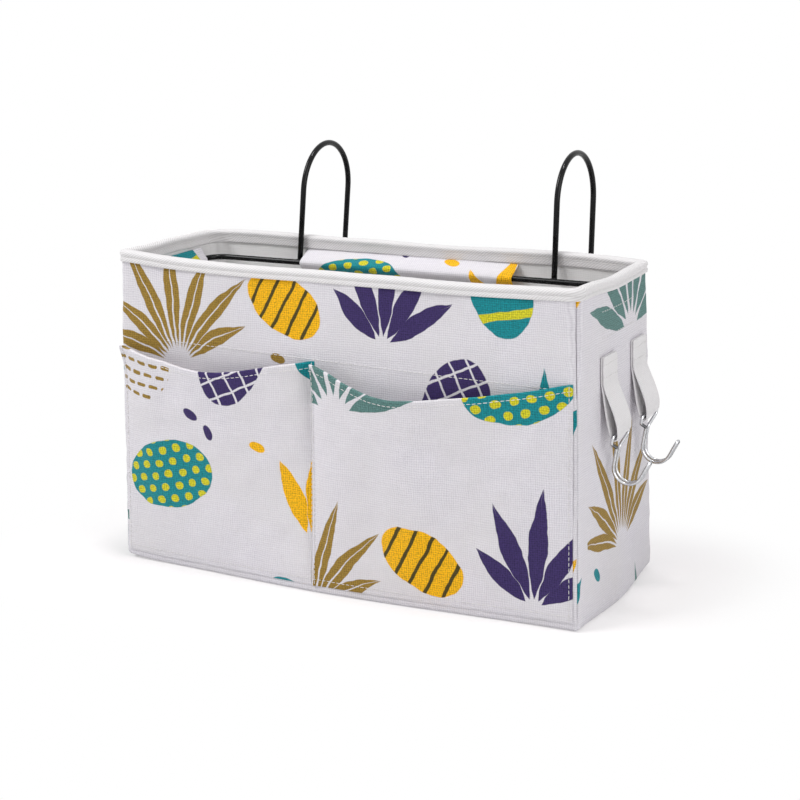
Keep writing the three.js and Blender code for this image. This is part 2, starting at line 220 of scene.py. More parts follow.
# The rim's rises and sags in millimetres: a place in plan, how much, and over what width.
RIM_SWAYS = (
    ((-147, -52), 2.2, 24), ((-147, -5), 1.4, 28), ((-60, -52), -1.2, 40),
    ((5, -52), -1.0, 42), ((75, -52), -1.5, 42), ((-50, 52), -0.8, 28),
    ((20, 52), -1.4, 40), ((147, 52), -1.2, 22), ((147, 8), -3.0, 34), ((-147, 52), -0.6, 18),
)
SWAY_START = 155 * MM
SWAY_HEIGHT = 35 * MM
SIDES = {
    "front": ((1, 0, 0), (0, -1, 0)),
    "right": ((0, 1, 0), (1, 0, 0)),
    "back": ((-1, 0, 0), (0, 1, 0)),
    "left": ((0, -1, 0), (-1, 0, 0)),
}
BOW = {"front": 4.5 * MM, "right": 0.5 * MM, "back": 2.2 * MM, "left": 1.6 * MM}
BASE_BOW = {"front": 1.5 * MM, "right": 3.2 * MM, "back": 1.0 * MM, "left": 2.0 * MM}
BASE_BOW_HEIGHT = 60 * MM
BINDING_EDGE = 181 * MM


def wall_reach(side, z):
    """Half of a wall's length, and how far it stands from the bag's middle, at a height."""
    share = z / BAG_HEIGHT
    length = BASE_HALF_LENGTH - LENGTH_TAPER / 2 * share
    width = BASE_HALF_WIDTH - WIDTH_TAPER / 2 * share
    return (length, width) if side in ("front", "back") else (width, length)


def eased(share):
    """A share from 0 to 1 that starts and ends softly."""
    share = np.clip(share, 0, 1)
    return share * share * (3 - 2 * share)


def corner_radius(side, share, z, out):
    """The rounding of a wall's nearer corner: tight at the base and softer towards the rim."""
    along, away = (np.array(axis[:2]) for axis in SIDES[side])
    low, high = (RIM_ROUNDINGS[tuple(away + end * along)] for end in (-1, 1))
    rise = (z - ROUNDING_START) / (BAG_HEIGHT - ROUNDING_START)
    softer = np.where(share < 0, low, high) * eased(rise)
    return np.maximum(CORNER_RADIUS + softer + out, 0.5 * MM)


def flat_share(side, along, z, out=0.0):
    """A place along a wall as a share of its flat part."""
    half, _ = wall_reach(side, z)
    return along / (half + out - corner_radius(side, along, z, out))


def below_rim(z):
    """The share of the bag's height that lies above a place, nought above the rim."""
    return np.clip(1 - z / BAG_HEIGHT, 0, 1)


def corner_lift(places):
    """How far the base's corners stand up off the table, at places in plan."""
    corner = np.array((BASE_HALF_LENGTH, BASE_HALF_WIDTH))
    return sum(
        lift * np.exp(-np.linalg.norm(places - corner * signs, axis=-1) / lift_reach)
        for signs, (lift, lift_reach) in CORNER_LIFTS.items()
    )


def rim_sway(places, z):
    """How far the soft rim rises or sags, at places in plan, and fading below it."""
    return MM * eased((z - SWAY_START) / SWAY_HEIGHT) * sum(
        rise * np.exp(-(np.linalg.norm(places / MM - centre, axis=-1) / width) ** 2)
        for centre, rise, width in RIM_SWAYS
    )


def on_wall(side, share, z, out=0.0, turn=0.0, swayed=True):
    """Points of a wall: -1 to 1 along its flat part, then turned round its rounded corner."""
    given = (np.asarray(value, float) for value in (share, z, out, turn))
    share, z, out, turn = np.broadcast_arrays(*given)
    along_axis, out_axis = (np.array(axis, float) for axis in SIDES[side])
    half, stand = wall_reach(side, z)
    radius = corner_radius(side, share, z, out)
    low_down = np.clip(1 - z / BASE_BOW_HEIGHT, 0, 1) ** 1.5
    bow = BOW[side] * below_rim(z) ** 0.8 + BASE_BOW[side] * low_down
    bow = bow * np.cos(share * math.pi / 2) ** 2
    along = share * (half + out - radius) + np.sign(share) * radius * np.sin(turn)
    away = stand + out - radius * (1 - np.cos(turn)) + bow
    points = along[..., None] * along_axis + away[..., None] * out_axis
    points[..., 2] = z + corner_lift(points[..., :2]) * np.clip(1 - z / LIFT_HEIGHT, 0, 1)
    if swayed:
        points[..., 2] += rim_sway(points[..., :2], z)
    return points


def crumple(points, size, seed):
    """Smooth chance swells of about a size, from -1 to 1, the same on every run."""
    flat = points.reshape(-1, 3) / size
    offset = Vector((seed * 7.3, seed * 3.1, seed * 5.7))
    return np.array([noise.noise(Vector(p) + offset) for p in flat]).reshape(points.shape[:-1])


CORNER_TURNS = np.radians((45, 40, 30, 20, 10))


def wall_columns(spacing, side, z=0):
    """Places along a wall: shares of its flat part, turns round its two corners, and how far
    along the cloth each lies from the wall's middle, at a height."""
    half, _ = wall_reach(side, 0)
    flat = np.linspace(-1, 1, 2 * round(half / spacing) + 1)
    corner = np.ones(len(CORNER_TURNS))
    shares = np.concatenate((-corner, flat, corner))
    turns = np.concatenate((CORNER_TURNS, np.zeros(len(flat)), CORNER_TURNS[::-1]))
    half, _ = wall_reach(side, z)
    run = shares * (half - CORNER_RADIUS) + np.sign(shares) * CORNER_RADIUS * turns
    return shares, turns, run


def run_along(points):
    """How far along a line of points each of them lies."""
    steps = np.linalg.norm(np.diff(points, axis=0), axis=1)
    return np.concatenate(((0,), np.cumsum(steps)))


def flat_places(*axes):
    """Places on flat cloth, from a column and a row of them."""
    return np.stack(np.broadcast_arrays(*axes), axis=-1)


def mesh_piece(name, points, faces, corners_uv, merge=False):
    """A mesh object with a UV map in hundreds of millimetres of flat cloth."""
    mesh = bpy.data.meshes.new(name)
    mesh.from_pydata(points.tolist(), [], faces.tolist())
    mesh.uv_layers.new(name="cloth").data.foreach_set("uv", corners_uv.ravel() / (100 * MM))
    if merge:
        work = bmesh.new()
        work.from_mesh(mesh)
        bmesh.ops.remove_doubles(work, verts=work.verts, dist=1e-6)
        work.to_mesh(mesh)
        work.free()
    mesh.shade_smooth()
    return new_object(name, mesh)


def grid_quads(columns, rows):
    """Corner numbers of the quads of a grid whose points run along its rows first."""
    i, j = np.meshgrid(np.arange(columns - 1), np.arange(rows - 1), indexing="ij")
    first = (i * rows + j).ravel()
    return np.stack((first, first + rows, first + rows + 1, first + 1), axis=1)


BOTTOM_RINGS = (0.03, 0.12, 0.3, 0.55, 0.8, 1.0)


def cloth_box(name, heights, outs, spacing, creases, cut_places, inwards=False):
    """The four walls and the bottom of a cloth box as one skin, one thickness deep."""
    points, faces, uvs, rims = [], [], [], []

    def lay(grid, flat):
        quads = grid_quads(*grid.shape[:2])
        faces.append(quads + sum(map(len, points)))
        points.append(grid.reshape(-1, 3))
        uvs.append(flat.reshape(-1, 2)[quads])

    rise = run_along(np.stack((heights, outs), axis=1))
    for side in SIDES:
        shares, turns, run = (values[:, None] for values in wall_columns(spacing, side))
        smooth = on_wall(side, shares, heights, outs, turns)
        grooved = (turns == CORNER_TURNS[0]) * np.clip(heights / GROOVE_START, 0, 1)
        out = outs + creases(side, smooth, run, heights) - SEAM_GROOVE * grooved
        skin = on_wall(side, shares, heights, out, turns)
        u0, v0 = cut_places[side]
        lay(skin, flat_places(run + u0, rise + v0))
        rims.append(skin[:-1, 0])
    rim = np.concatenate(rims)
    lowest = rim[:, 2].min()
    ridge_half = rim[:, 0].max() - rim[:, 1].max()
    core = np.stack(np.broadcast_arrays(
        np.clip(rim[:, 0], -ridge_half, ridge_half), 0.0, lowest), axis=1)
    rings = np.stack([rim] + [rim + (core - rim) * depth for depth in BOTTOM_RINGS])
    rings[1:, :, 2] = np.minimum(rings[1:, :, 2], lowest + 0.4 * MM)
    rings = np.concatenate((rings, rings[:, :1]), axis=1)
    lay(rings, rings[..., :2] + cut_places["bottom"])
    points, faces, uvs = (np.concatenate(part) for part in (points, faces, uvs))
    if inwards:
        faces, uvs = faces[:, ::-1], uvs[:, ::-1]
    piece = mesh_piece(name, points, faces, uvs, merge=True)
    wall = piece.modifiers.new("cloth_thickness", "SOLIDIFY")
    wall.thickness = CLOTH
    wall.offset = -1
    return piece


def bag_creases(side, points, flat, z):
    """Soft swells in the middle of a panel, and small puckers beside its seams. The right
    wall stays flatter, so that the side hooks swing clear of it."""
    half, _ = wall_reach(side, 0)
    from_corner = half - np.abs(flat)
    swells = 0.55 * crumple(points, 52 * MM, 1) + 0.22 * crumple(points, 17 * MM, 2)
    at_corner = 0.5 * crumple(points, 6 * MM, 3) * np.exp(-from_corner / (5 * MM))
    at_rim = 0.4 * crumple(points, 5 * MM, 4) * np.exp(-np.abs(z - BINDING_EDGE) / (5 * MM))
    at_base = 0.6 * crumple(points, 7 * MM, 5) * np.exp(-z / (7 * MM))
    swells = np.clip(swells, -0.25, 0.15 if side == "right" else 1.0)
    if side == "front":
        swells = swells * (1 + 1.6 * np.clip((z - 130 * MM) / (15 * MM), 0, 1))
    return MM * (swells + at_corner + at_rim + at_base) * np.clip(z / (4 * MM), 0, 1)


def box_profile(lift, rows):
    """The heights of a cloth box's rows, up to the binding, and how far in each is turned."""
    turn_in = np.radians((90, 67.5, 45, 22.5))
    heights = np.linspace(lift + BASE_ROUNDING, BAG_HEIGHT - RIM_TUCK, rows)
    heights = np.concatenate((lift + BASE_ROUNDING * (1 - np.sin(turn_in)), heights))
    outs = np.concatenate((-BASE_ROUNDING * (1 - np.cos(turn_in)), np.zeros(rows)))
    return heights, outs


BAG_CUTS = {
    "front": (160 * MM, 0),
    "right": (365 * MM, 96 * MM),
    "back": (700 * MM, 60 * MM),
    "left": (1000 * MM, 20 * MM),
    "bottom": (160 * MM, 400 * MM),
}
bag_cloth = cloth_box(
    "bag_cloth", *box_profile(0, BAG_ROWS), BAG_SPACING, bag_creases, BAG_CUTS)


# Printed cotton-linen: a plain weave of slightly uneven threads, screen printed with a repeat
# of leaf fans and pebbles in seven inks. It is matt and off-white. Cloth and inks alike are
# painted darker between the threads and lighter on the crossings: painted shade, with random
# specks.
def new_group(name, inputs, outputs):
    """A shader group, what adds nodes to it, and its inputs. Place and Inside are vectors."""
    group = bpy.data.node_groups.new(name, "ShaderNodeTree")
    for direction, labels in (("INPUT", inputs), ("OUTPUT", outputs)):
        for label in labels:
            kind = "Vector" if label in ("Place", "Inside") else "Float"
            group.interface.new_socket(label, in_out=direction, socket_type="NodeSocket" + kind)
    node = partial(add, group)
    return group, node, list(node("NodeGroupInput").node.outputs)[:-1]


# Plain weave: crossings that stand up in turn, and threads that are thick and thin. Real
# threads lie closer, about 12 to the centimetre, and wouldn't show at this size.
weave, node, (place, pitch, slubs) = new_group(
    "plain_weave", ("Place", "Pitch", "Slubs"), ("Height", "Tone And Shade"))
wobble = node("TexNoise", Vector=place, Scale=0.08, Detail=1.0, output="Color")
bent = node("VECTOR ADD", place, node("VECTOR MULTIPLY", wobble, (2.4, 2.4, 0.0)))
phase = node("VECTOR SCALE", bent, Scale=node("DIVIDE", math.pi, pitch))
x, y, _ = node("SeparateXYZ", phase).node.outputs
warp, weft = node("SINE", x), node("SINE", y)
rounds = node("ADD", node("ABSOLUTE", warp), node("ABSOLUTE", weft))
upright, level = (
    node("TexNoise", Vector=node("VECTOR MULTIPLY", place, stretch), Scale=1.0, Detail=2.0)
    for stretch in ((0.9, 0.11, 0.0), (0.07, 0.9, 0.0)))
slub_tone = node("MapRange", node("ADD", upright, level), 0.72, 1.28, -1.0, 1.0)
slub_part = node("MULTIPLY", slub_tone, slubs)
height = node("MULTIPLY_ADD", node("MULTIPLY", warp, weft), 0.30, rounds)
height = node("MULTIPLY_ADD", slub_part, 0.2, height)
specks = node("TexNoise", Vector=place, Scale=1.1, Detail=1.0)
# The tone is lighter on the raised crossings and darker between them, which is painted shade,
# with random specks and slubs mixed in.
tone = node("MULTIPLY_ADD", rounds, 0.30, 0.08)
tone = node("MULTIPLY_ADD", specks, 0.44, tone)
tone = node("MULTIPLY_ADD", slub_part, 0.08, tone)
node("NodeGroupOutput", height, tone)

# Leaf fan: an odd number of blades that spread from one point. Its output is how many
# millimetres of ink lie round a place, below nought outside the blades.
fan, node, given = new_group("leaf_fan", (
    "Place", "Base X", "Base Y", "Heading", "Step", "Side Blades", "Length", "Half Width",
    "Droop", "Sweep", "Bare Foot", "Vein"), ("Ink",))
place, base_x, base_y, heading, step, side_blades, length = given[:7]
half_width, droop, sweep, bare_foot, vein = given[7:]
from_base = node("VECTOR SUBTRACT", place, node("CombineXYZ", base_x, base_y, 0.0))
turned = node("VectorRotate", Vector=from_base, Angle=heading, rotation_type="Z_AXIS")
x, y, _ = node("SeparateXYZ", turned).node.outputs
far = node("VECTOR LENGTH", turned, output="Value")
swept = node("MULTIPLY_ADD", node("DIVIDE", far, length), sweep, 1.0)
steps = node("DIVIDE", node("DIVIDE", node("ARCTAN2", x, y), swept), step)
blade = node("MAXIMUM", node("ROUND", steps), node("MULTIPLY", side_blades, -1.0))
blade = node("MINIMUM", blade, side_blades)
off_angle = node("MULTIPLY", node("SUBTRACT", steps, blade), step)
off_angle = node("MULTIPLY", off_angle, swept)
aside = node("ABSOLUTE", node("MULTIPLY", off_angle, far))
outness = node("DIVIDE", node("ABSOLUTE", blade), side_blades)
uneven = node("SINE", node("MULTIPLY", blade, 2.3))
lost = node("MULTIPLY_ADD", uneven, 0.06, node("MULTIPLY", outness, droop))
blade_length = node("MULTIPLY", node("SUBTRACT", 1.0, lost), length)
along = node("MapRange", far, bare_foot, blade_length, 0.0, 1.0)
fullness = node("SINE", node("MULTIPLY", node("POWER", along, 0.9), math.pi))
ink = node("SUBTRACT", node("MULTIPLY", fullness, half_width), aside)
ink = node("SUBTRACT", ink, 0.2)
bare_vein = node("SUBTRACT", vein, node("MULTIPLY", along, vein))
node("NodeGroupOutput", node("MINIMUM", ink, node("SUBTRACT", aside, bare_vein)))

# Pebble: a plain oval, with its own turned coordinates for the pattern printed in it.
pebble, node, (place, middle_x, middle_y, turn, half_length, half_width) = new_group(
    "pebble", ("Place", "Middle X", "Middle Y", "Turn", "Half Length", "Half Width"),
    ("Ink", "Inside"))
from_middle = node("VECTOR SUBTRACT", place, node("CombineXYZ", middle_x, middle_y, 0.0))
inside = node("VectorRotate", Vector=from_middle, Angle=turn, rotation_type="Z_AXIS")
shares = node("VECTOR DIVIDE", inside, node("CombineXYZ", half_length, half_width, 1.0))
short_of = node("SUBTRACT", 1.0, node("VECTOR LENGTH", shares, output="Value"))
node("NodeGroupOutput", node("MULTIPLY", short_of, half_width), inside)

# Dash rows: short round-ended dashes in staggered rows.
dashes, node, (inside, gap_x, gap_y, half_dash, half_width) = new_group(
    "dash_rows", ("Inside", "Gap X", "Gap Y", "Half Dash", "Half Width"), ("Ink",))
x, y, _ = node("SeparateXYZ", inside).node.outputs
row = node("ROUND", node("DIVIDE", y, gap_y))
half_gap = node("MULTIPLY", gap_x, 0.5)
beside = node("PINGPONG", node("MULTIPLY_ADD", row, half_gap, x), half_gap)
beyond = node("MAXIMUM", node("SUBTRACT", beside, half_dash), 0.0)
above = node("PINGPONG", y, node("MULTIPLY", gap_y, 0.5))
off_dash = node("VECTOR LENGTH", node("CombineXYZ", beyond, above, 0.0), output="Value")
node("NodeGroupOutput", node("SUBTRACT", half_width, off_dash))

# The print itself, in millimetres: inks are laid from light to dark, and each is painted darker
# between the threads and lighter on them, partly painted shade and partly random specks. A fan
# has its ink, base, heading, angle between blades, blades on each side, length, half width,
# droop, sweep, bare foot and vein. A pebble has its ink, the ink and sizes of the dashes or
# bands in it, and its middle, turn and half sizes.
LINEN_PITCH = 1.3
REPEAT = (320.0, 240.0, 1.0)
INKS = {"slate": "#5C8480", "teal": "#0E8A93", "mustard": "#FABC0C", "olive": "#9D7E33",
        "purple": "#3B2C63", "lime": "#D8D12A", "dark_olive": "#4B4218"}
FANS = (
    ("slate", 72, 8, 0.0, 0.36, 3, 104, 6.6, 0.30, 0.22, 12, -1.0),
    ("mustard", 283, 6, 0.12, 0.42, 1, 66, 6.2, 0.25, 0.2, 6, -1.0),
    ("teal", 292, 92, 0.0, 0.40, 1, 56, 5.2, 0.22, 0.35, 5, -1.0),
    ("olive", 52, 126, -0.12, 0.30, 3, 92, 5.4, 0.36, 0.45, 9, 0.7),
    ("purple", 192, 150, 0.1, 0.42, 2, 72, 5.8, 0.30, 0.1, 6, -1.0),
)
SEEDS = (
    ("purple", 205, 76, 0.5), ("purple", 217, 66, 1.1), ("mustard", 138, 64, -0.6),
    ("olive", 122, 138, 0.2), ("teal", 14, 122, 0.9), ("mustard", 250, 60, 0.3),
)
SEED_HALF_SIZES = (5.2, 2.9)
PEBBLES = (
    ("teal", "lime", (10.5, 7.5, 0.5, 2.4), (186, 36, -0.25, 33, 21)),
    (None, "olive", (9.4, 6.6, 2.3, 1.15), (160, 104, 0.1, 31, 25)),
    ("mustard", "dark_olive", (5.0, 1.1), (126, 170, 0.5, 27, 17)),
    ("teal", "lime", (9.0, 2.6), (268, 192, -1.75, 31, 20)),
)
NETTED_PEBBLE = (236, 116, -1.2, 34, 21)
NET_GAP = 7.5
NET_LINE = 0.9


def cloth_place(node):
    """A place on the flat cloth in millimetres. A noise's scale there is lumps to each."""
    return node("VECTOR MULTIPLY", node("UVMap", uv_map="cloth"), (100.0, 100.0, 0.0))


def cloth_look(node, colour, roughness, height, strength, depth, sheen=0.12):
    """The last nodes of a cloth: threads that stand up by a depth, and a faint sheen."""
    bumps = node("Bump", Strength=strength, Distance=depth * MM, Height=height)
    node("OutputMaterial", node(
        "BsdfPrincipled", Base_Color=colour, Roughness=roughness, Normal=bumps,
        Specular_IOR_Level=0.25, Sheen_Weight=sheen, Sheen_Roughness=0.5))


OF_COLOURS = {"data_type": "RGBA", "output": 2}  # What makes a Mix node one of colours.
printed_linen, node = new_material("printed_cotton_linen")
flat_place = cloth_place(node)
hand = node("TexNoise", Vector=flat_place, Scale=0.07, Detail=2.0, output="Color")
hand = node("VECTOR SUBTRACT", hand, (0.5, 0.5, 0.5))
drawn = node("VECTOR MULTIPLY_ADD", hand, (3.4, 3.4, 0.0), flat_place)
drawn = node("VECTOR WRAP", drawn, REPEAT, (0.0, 0.0, 0.0))
layers = {}


def lay_ink(name, amount):
    """Joins one more motif to an ink."""
    layers[name] = node("MAXIMUM", layers[name], amount) if name in layers else amount


for ink_name, *sizes in FANS:
    lay_ink(ink_name, node("Group", drawn, *sizes, node_tree=fan))
for ink_name, *place in SEEDS:
    lay_ink(ink_name, node("Group", drawn, *place, *SEED_HALF_SIZES, node_tree=pebble))
for ink_name, mark_name, sizes, place in PEBBLES:
    oval, inside = node("Group", drawn, *place, node_tree=pebble).node.outputs
    if len(sizes) == 4:
        marks = node("Group", inside, *sizes, node_tree=dashes)
    else:
        x, _, _ = node("SeparateXYZ", inside).node.outputs
        marks = node("SUBTRACT", sizes[1], node("PINGPONG", x, sizes[0]))
    lay_ink(mark_name, node("MINIMUM", marks, oval))
    if ink_name:
        lay_ink(ink_name, oval)
netted, inside = node("Group", drawn, *NETTED_PEBBLE, node_tree=pebble).node.outputs
x, y, _ = node("SeparateXYZ", inside).node.outputs
for across in ("ADD", "SUBTRACT"):
    off_line = node("PINGPONG", node(across, x, y), NET_GAP)
    netted = node("MINIMUM", node("SUBTRACT", off_line, NET_LINE), netted)
lay_ink("purple", netted)

height, tone = node("Group", flat_place, LINEN_PITCH, 1.0, node_tree=weave).node.outputs
# The cloth's colour follows the weave's tone: painted shade between the threads, with random
# specks and slubs.
colour = node("Mix", tone, A_Color="#BDB8C2", B_Color="#F2EFF5", **OF_COLOURS)
blotches = node("TexNoise", Vector=flat_place, Scale=0.02, Detail=2.0)
blotch = node("MapRange", blotches, 0.3, 0.7, 0.0, 0.5)
colour = node("Mix", blotch, A_Color=colour, B_Color="#E2DFE0", **OF_COLOURS)
specks = node("TexNoise", Vector=flat_place, Scale=0.9, Detail=2.0)
# Each ink is made darker between the threads and lighter on them by the weave's tone: painted
# shade, with random specks.
ink_tone = node("MULTIPLY_ADD", specks, 1.1, tone)
ink_specks_and_shade = node("MapRange", ink_tone, 0.7, 1.6, 0.42, 1.28)
inked = 0.0
for ink_name, code in INKS.items():
    cover = node("MapRange", layers[ink_name], -0.14, 0.22, 0.0, 1.0)
    ink = node("VECTOR SCALE", linear(code)[:3], Scale=ink_specks_and_shade)
    colour = node("Mix", cover, A_Color=colour, B_Color=ink, **OF_COLOURS)
    inked = node("MAXIMUM", cover, inked)
roughness = node("MapRange", inked, 0.0, 1.0, 0.93, 0.78)
cloth_look(node, colour, roughness, height, 0.55, 0.16)


def dress(piece, material, body, slot_name, *replaced):
    """Gives a piece its material, and says what it rides on, if one body, and stands for."""
    piece.data.materials.clear()
    piece.data.materials.append(material)
    if body:
        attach(piece, body)
    if replaced:
        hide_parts(*replaced)


dress(bag_cloth, printed_linen, "bag", "printed_cloth",
      "outer_front", "outer_back", "outer_left", "outer_right", "outer_bottom")


# Stiffener boards: pressed fibre board in each wall and in the bottom, shut in between the
# cloth and the lining. Each is cut a little short of the corners, so the cloth can round them.
def sewn_cloth(name, face, thickness, cut, ring=False, rounded=True):
    """A closed piece of cloth from a grid of points on its right side, and their flat places."""
    columns, rows = face.shape[:2]
    across, upwards = np.gradient(face, axis=0), np.gradient(face, axis=1)
    if ring:
        across[0] = across[-1] = (face[1] - face[0]) + (face[-1] - face[-2])
    normal = np.cross(across, upwards)
    normal /= np.linalg.norm(normal, axis=-1, keepdims=True)
    inner = face - normal * np.broadcast_to(thickness, (columns, rows))[..., None]
    outer_side = grid_quads(columns, rows)
    behind = columns * rows
    inner_side = outer_side[:, ::-1] + behind
    i, j = np.arange(columns - 1), np.arange(rows - 1)
    foot, head = i * rows, i * rows + rows - 1
    edges = [
        np.stack((foot + rows, foot, foot + behind, foot + rows + behind), axis=1),
        np.stack((head, head + rows, head + rows + behind, head + behind), axis=1),
    ]
    if not ring:
        last = (columns - 1) * rows + j
        edges.append(np.stack((j, j + 1, j + 1 + behind, j + behind), axis=1))
        edges.append(np.stack((last + 1, last, last + behind, last + 1 + behind), axis=1))
    faces = np.concatenate((outer_side, inner_side, *edges))
    flat = np.concatenate((cut.reshape(-1, 2),) * 2)
    points = np.concatenate((face.reshape(-1, 3), inner.reshape(-1, 3)))
    piece = mesh_piece(name, points, faces, flat[faces], merge=ring)
    if rounded:
        rounding = piece.modifiers.new("soft_edges", "SUBSURF")
        rounding.levels = rounding.render_levels = 1
    return piece


def grained(name, dark, light, roughness, strength, depth, *grains, **look):
    """A material whose tone and roughness follow the first grain, and its bumps the last. A
    grain is a size in millimetres and a detail. Roughness is one number or two."""
    material, node = new_material(name)
    place = node("TexCoord", output="Object")
    noises = [node("TexNoise", Vector=place, Scale=1 / (size * MM), Detail=detail)
              for size, detail in grains]
    colour = node("Mix", noises[0], A_Color=dark, B_Color=light, **OF_COLOURS)
    if isinstance(roughness, tuple):
        roughness = node("MapRange", noises[0], 0.3, 0.7, *roughness)
    bumps = node("Bump", Strength=strength, Distance=depth * MM, Height=noises[-1])
    node("OutputMaterial", node("BsdfPrincipled", Base_Color=colour, Roughness=roughness,
                                Normal=bumps, **look))
    return material


# Fibre board: brown, matt and mottled with short fibres.
fibre_board = grained("pressed_fibre_board", "#9C8C70", "#C4B498", 0.9, 0.4, 0.1, (1.11, 5.0))
BOARD = 1.8 * MM
BOARD_FRONT = -1.3 * MM
BOARD_SHORT = 13 * MM
BOTTOM_SHORT = 5 * MM
board_rises = np.linspace(5 * MM, BINDING_EDGE, 12)
boards = []
for side in SIDES:
    half, _ = wall_reach(side, BAG_HEIGHT)
    places = np.linspace(-half + BOARD_SHORT, half - BOARD_SHORT, 16)[:, None]
    shares = flat_share(side, places, board_rises, BOARD_FRONT)
    face = on_wall(side, shares, board_rises, BOARD_FRONT)
    boards.append((side, face, flat_places(places, board_rises)))
flat = flat_places(np.linspace(-1, 1, 24)[:, None] * (BASE_HALF_LENGTH - BOTTOM_SHORT),
                   np.linspace(1, -1, 10) * (BASE_HALF_WIDTH - BOTTOM_SHORT))
face = np.concatenate((flat, corner_lift(flat)[..., None] - BOARD_FRONT), axis=-1)
boards.append(("bottom", face, flat))
for side, face, flat in boards:
    board = sewn_cloth(f"{side}_board", face, BOARD, flat, rounded=False)
    dress(board, fibre_board, "bag", "fibre_board", f"board_{side}")


# Lining: plain off-white cotton, cut like the bag and dropped into it, so it hangs a little
# fuller than the walls and puckers in the corners.
LINING_DEPTH = 4.3 * MM
LINING_ROWS, LINING_SPACING = 56, 3.6 * MM
FULLER_BELOW = 150 * MM


def lining_creases(side, points, flat, z):
    """Looser swells low down, and none where the frame wire and the flaps lie."""
    low_down = np.clip((FULLER_BELOW - z) / (40 * MM), 0, 1)
    low_down = low_down * np.clip((z - LINING_DEPTH) / (8 * MM), 0, 1)
    swells = 0.9 * crumple(points, 38 * MM, 11) + 0.4 * crumple(points, 13 * MM, 12)
    high_up = 0.12 * crumple(points, 11 * MM, 13) + 0.1
    half, _ = wall_reach(side, 0)
    flatter = np.clip((half - np.abs(flat)) / (12 * MM), 0, 1)
    unbowed = BOW[side] * np.cos(flat / half * math.pi / 2) ** 2 * below_rim(z) ** 0.8
    return MM * (high_up - np.abs(swells) * low_down * flatter) - unbowed


def plain_cloth(name, pitch, slubs, dark, light, strength, sheen):
    """Plain woven cotton of one colour: matt, with threads that catch a little light, and painted
    shade that makes it darker between the threads.
    """
    material, node = new_material(name)
    height, tone = node("Group", cloth_place(node), pitch, slubs, node_tree=weave).node.outputs
    # Colour follows the weave's tone: painted shade between the threads, with random specks.
    colour = node("Mix", tone, A_Color=dark, B_Color=light, **OF_COLOURS)
    roughness = node("MapRange", tone, 0.0, 1.0, 0.95, 0.85)
    cloth_look(node, colour, roughness, height, strength, 0.12, sheen)
    return material


# Lining cotton: whiter and finer than the bag's cloth, so the mouth looks bright and smooth.
lining_cotton = plain_cloth("plain_lining_cotton", 1.1, 0.6, "#EAE8E8", "#FBFAFA", 0.4, 0.12)
lining_heights, lining_outs = box_profile(LINING_DEPTH, LINING_ROWS)
bag_lining = cloth_box(
    "bag_lining", lining_heights, lining_outs - LINING_DEPTH, LINING_SPACING, lining_creases,
    {side: (0, 0) for side in BAG_CUTS}, inwards=True)
dress(bag_lining, lining_cotton, "bag", "lining_cloth",
      "lining_front", "lining_back", "lining_left", "lining_right", "lining_bottom")


# Rim binding: one cotton twill tape folded over the raw edges of cloth, board and lining, and
# sewn through in a groove half way down. Its ribs run slantwise.
BINDING_TAPE = 0.8 * MM
BINDING_SPACING = 2.6 * MM
BINDING_SECTION = np.array([
    (-1.1, 183.0), (-1.25, 183.6), (-1.3, 184.5), (-1.1, 185.3), (-0.5, 185.8), (-0.95, 186.3),
    (-1.4, 187.0), (-1.5, 188.0), (-1.0, 189.1), (0.4, 189.8), (2.2, 190.0), (4.0, 189.7),
    (5.2, 189.1), (5.7, 188.2), (5.6, 187.0), (5.2, 186.0), (5.4, 184.4), (5.5, 182.9),
    (5.45, 181.6),
]) * MM


def binding_points(side, shares, turns, section):
    """Points of the tape's outside round the rim, a little wavy and gathered at the corners."""
    deep, z = section[:, 0], section[:, 1]
    smooth = on_wall(side, shares[:, None], z, -deep, turns[:, None])
    outer_leg = np.where(deep < 2 * MM, 1.0, -1.0)
    wave = 0.22 * crumple(smooth, 13 * MM, 21) + 0.16 * crumple(smooth, 4.5 * MM, 22)
    sway = 0.35 * crumple(smooth * (1, 1, 0), 30 * MM, 23)
    out = -deep + outer_leg * MM * np.maximum(wave, -0.18)
    return on_wall(side, shares[:, None], z + MM * sway, out, turns[:, None])


binding_faces, binding_cuts = [], []
reached = 0.0
for side in SIDES:
    shares, turns, run = wall_columns(BINDING_SPACING, side, BAG_HEIGHT)
    run = reached + run - run[0]
    reached = run[-1]
    stop = None if side == "left" else -1
    binding_faces.append(binding_points(side, shares, turns, BINDING_SECTION)[:stop])
    binding_cuts.append(flat_places(run[:, None], run_along(BINDING_SECTION))[:stop])
binding_face = np.concatenate(binding_faces)
binding_face[-1] = binding_face[0]
twill_binding = sewn_cloth("twill_binding", binding_face, BINDING_TAPE,
                           np.concatenate(binding_cuts), ring=True)

# Cotton twill: off-white and matt, with raised slanting ribs, and painted shade that is darker
# in the grooves between the ribs. They are drawn wider than the real ones, which are under a
# millimetre, so that they show.
RIB_PITCH = 1.3
RIB_SLANT = 1.3
twill_tape, node = new_material("cotton_twill_tape")
flat_place = cloth_place(node)
wander = node("TexNoise", Vector=flat_place, Scale=0.25, Detail=2.0, output="Color")
flat_place = node("VECTOR MULTIPLY_ADD", wander, (0.9, 0.9, 0.0), flat_place)
x, y, _ = node("SeparateXYZ", flat_place).node.outputs
slant = node("MULTIPLY_ADD", y, -RIB_SLANT, x)
ribs = node("MULTIPLY", slant, 2 * math.pi / RIB_PITCH / math.hypot(RIB_SLANT, 1))
rib_share = node("MapRange", node("SINE", ribs), -1.0, 0.6, 0.0, 1.0)
fuzz = node("TexNoise", Vector=flat_place, Scale=1.6, Detail=3.0)
height = node("MULTIPLY_ADD", fuzz, 0.35, rib_share)
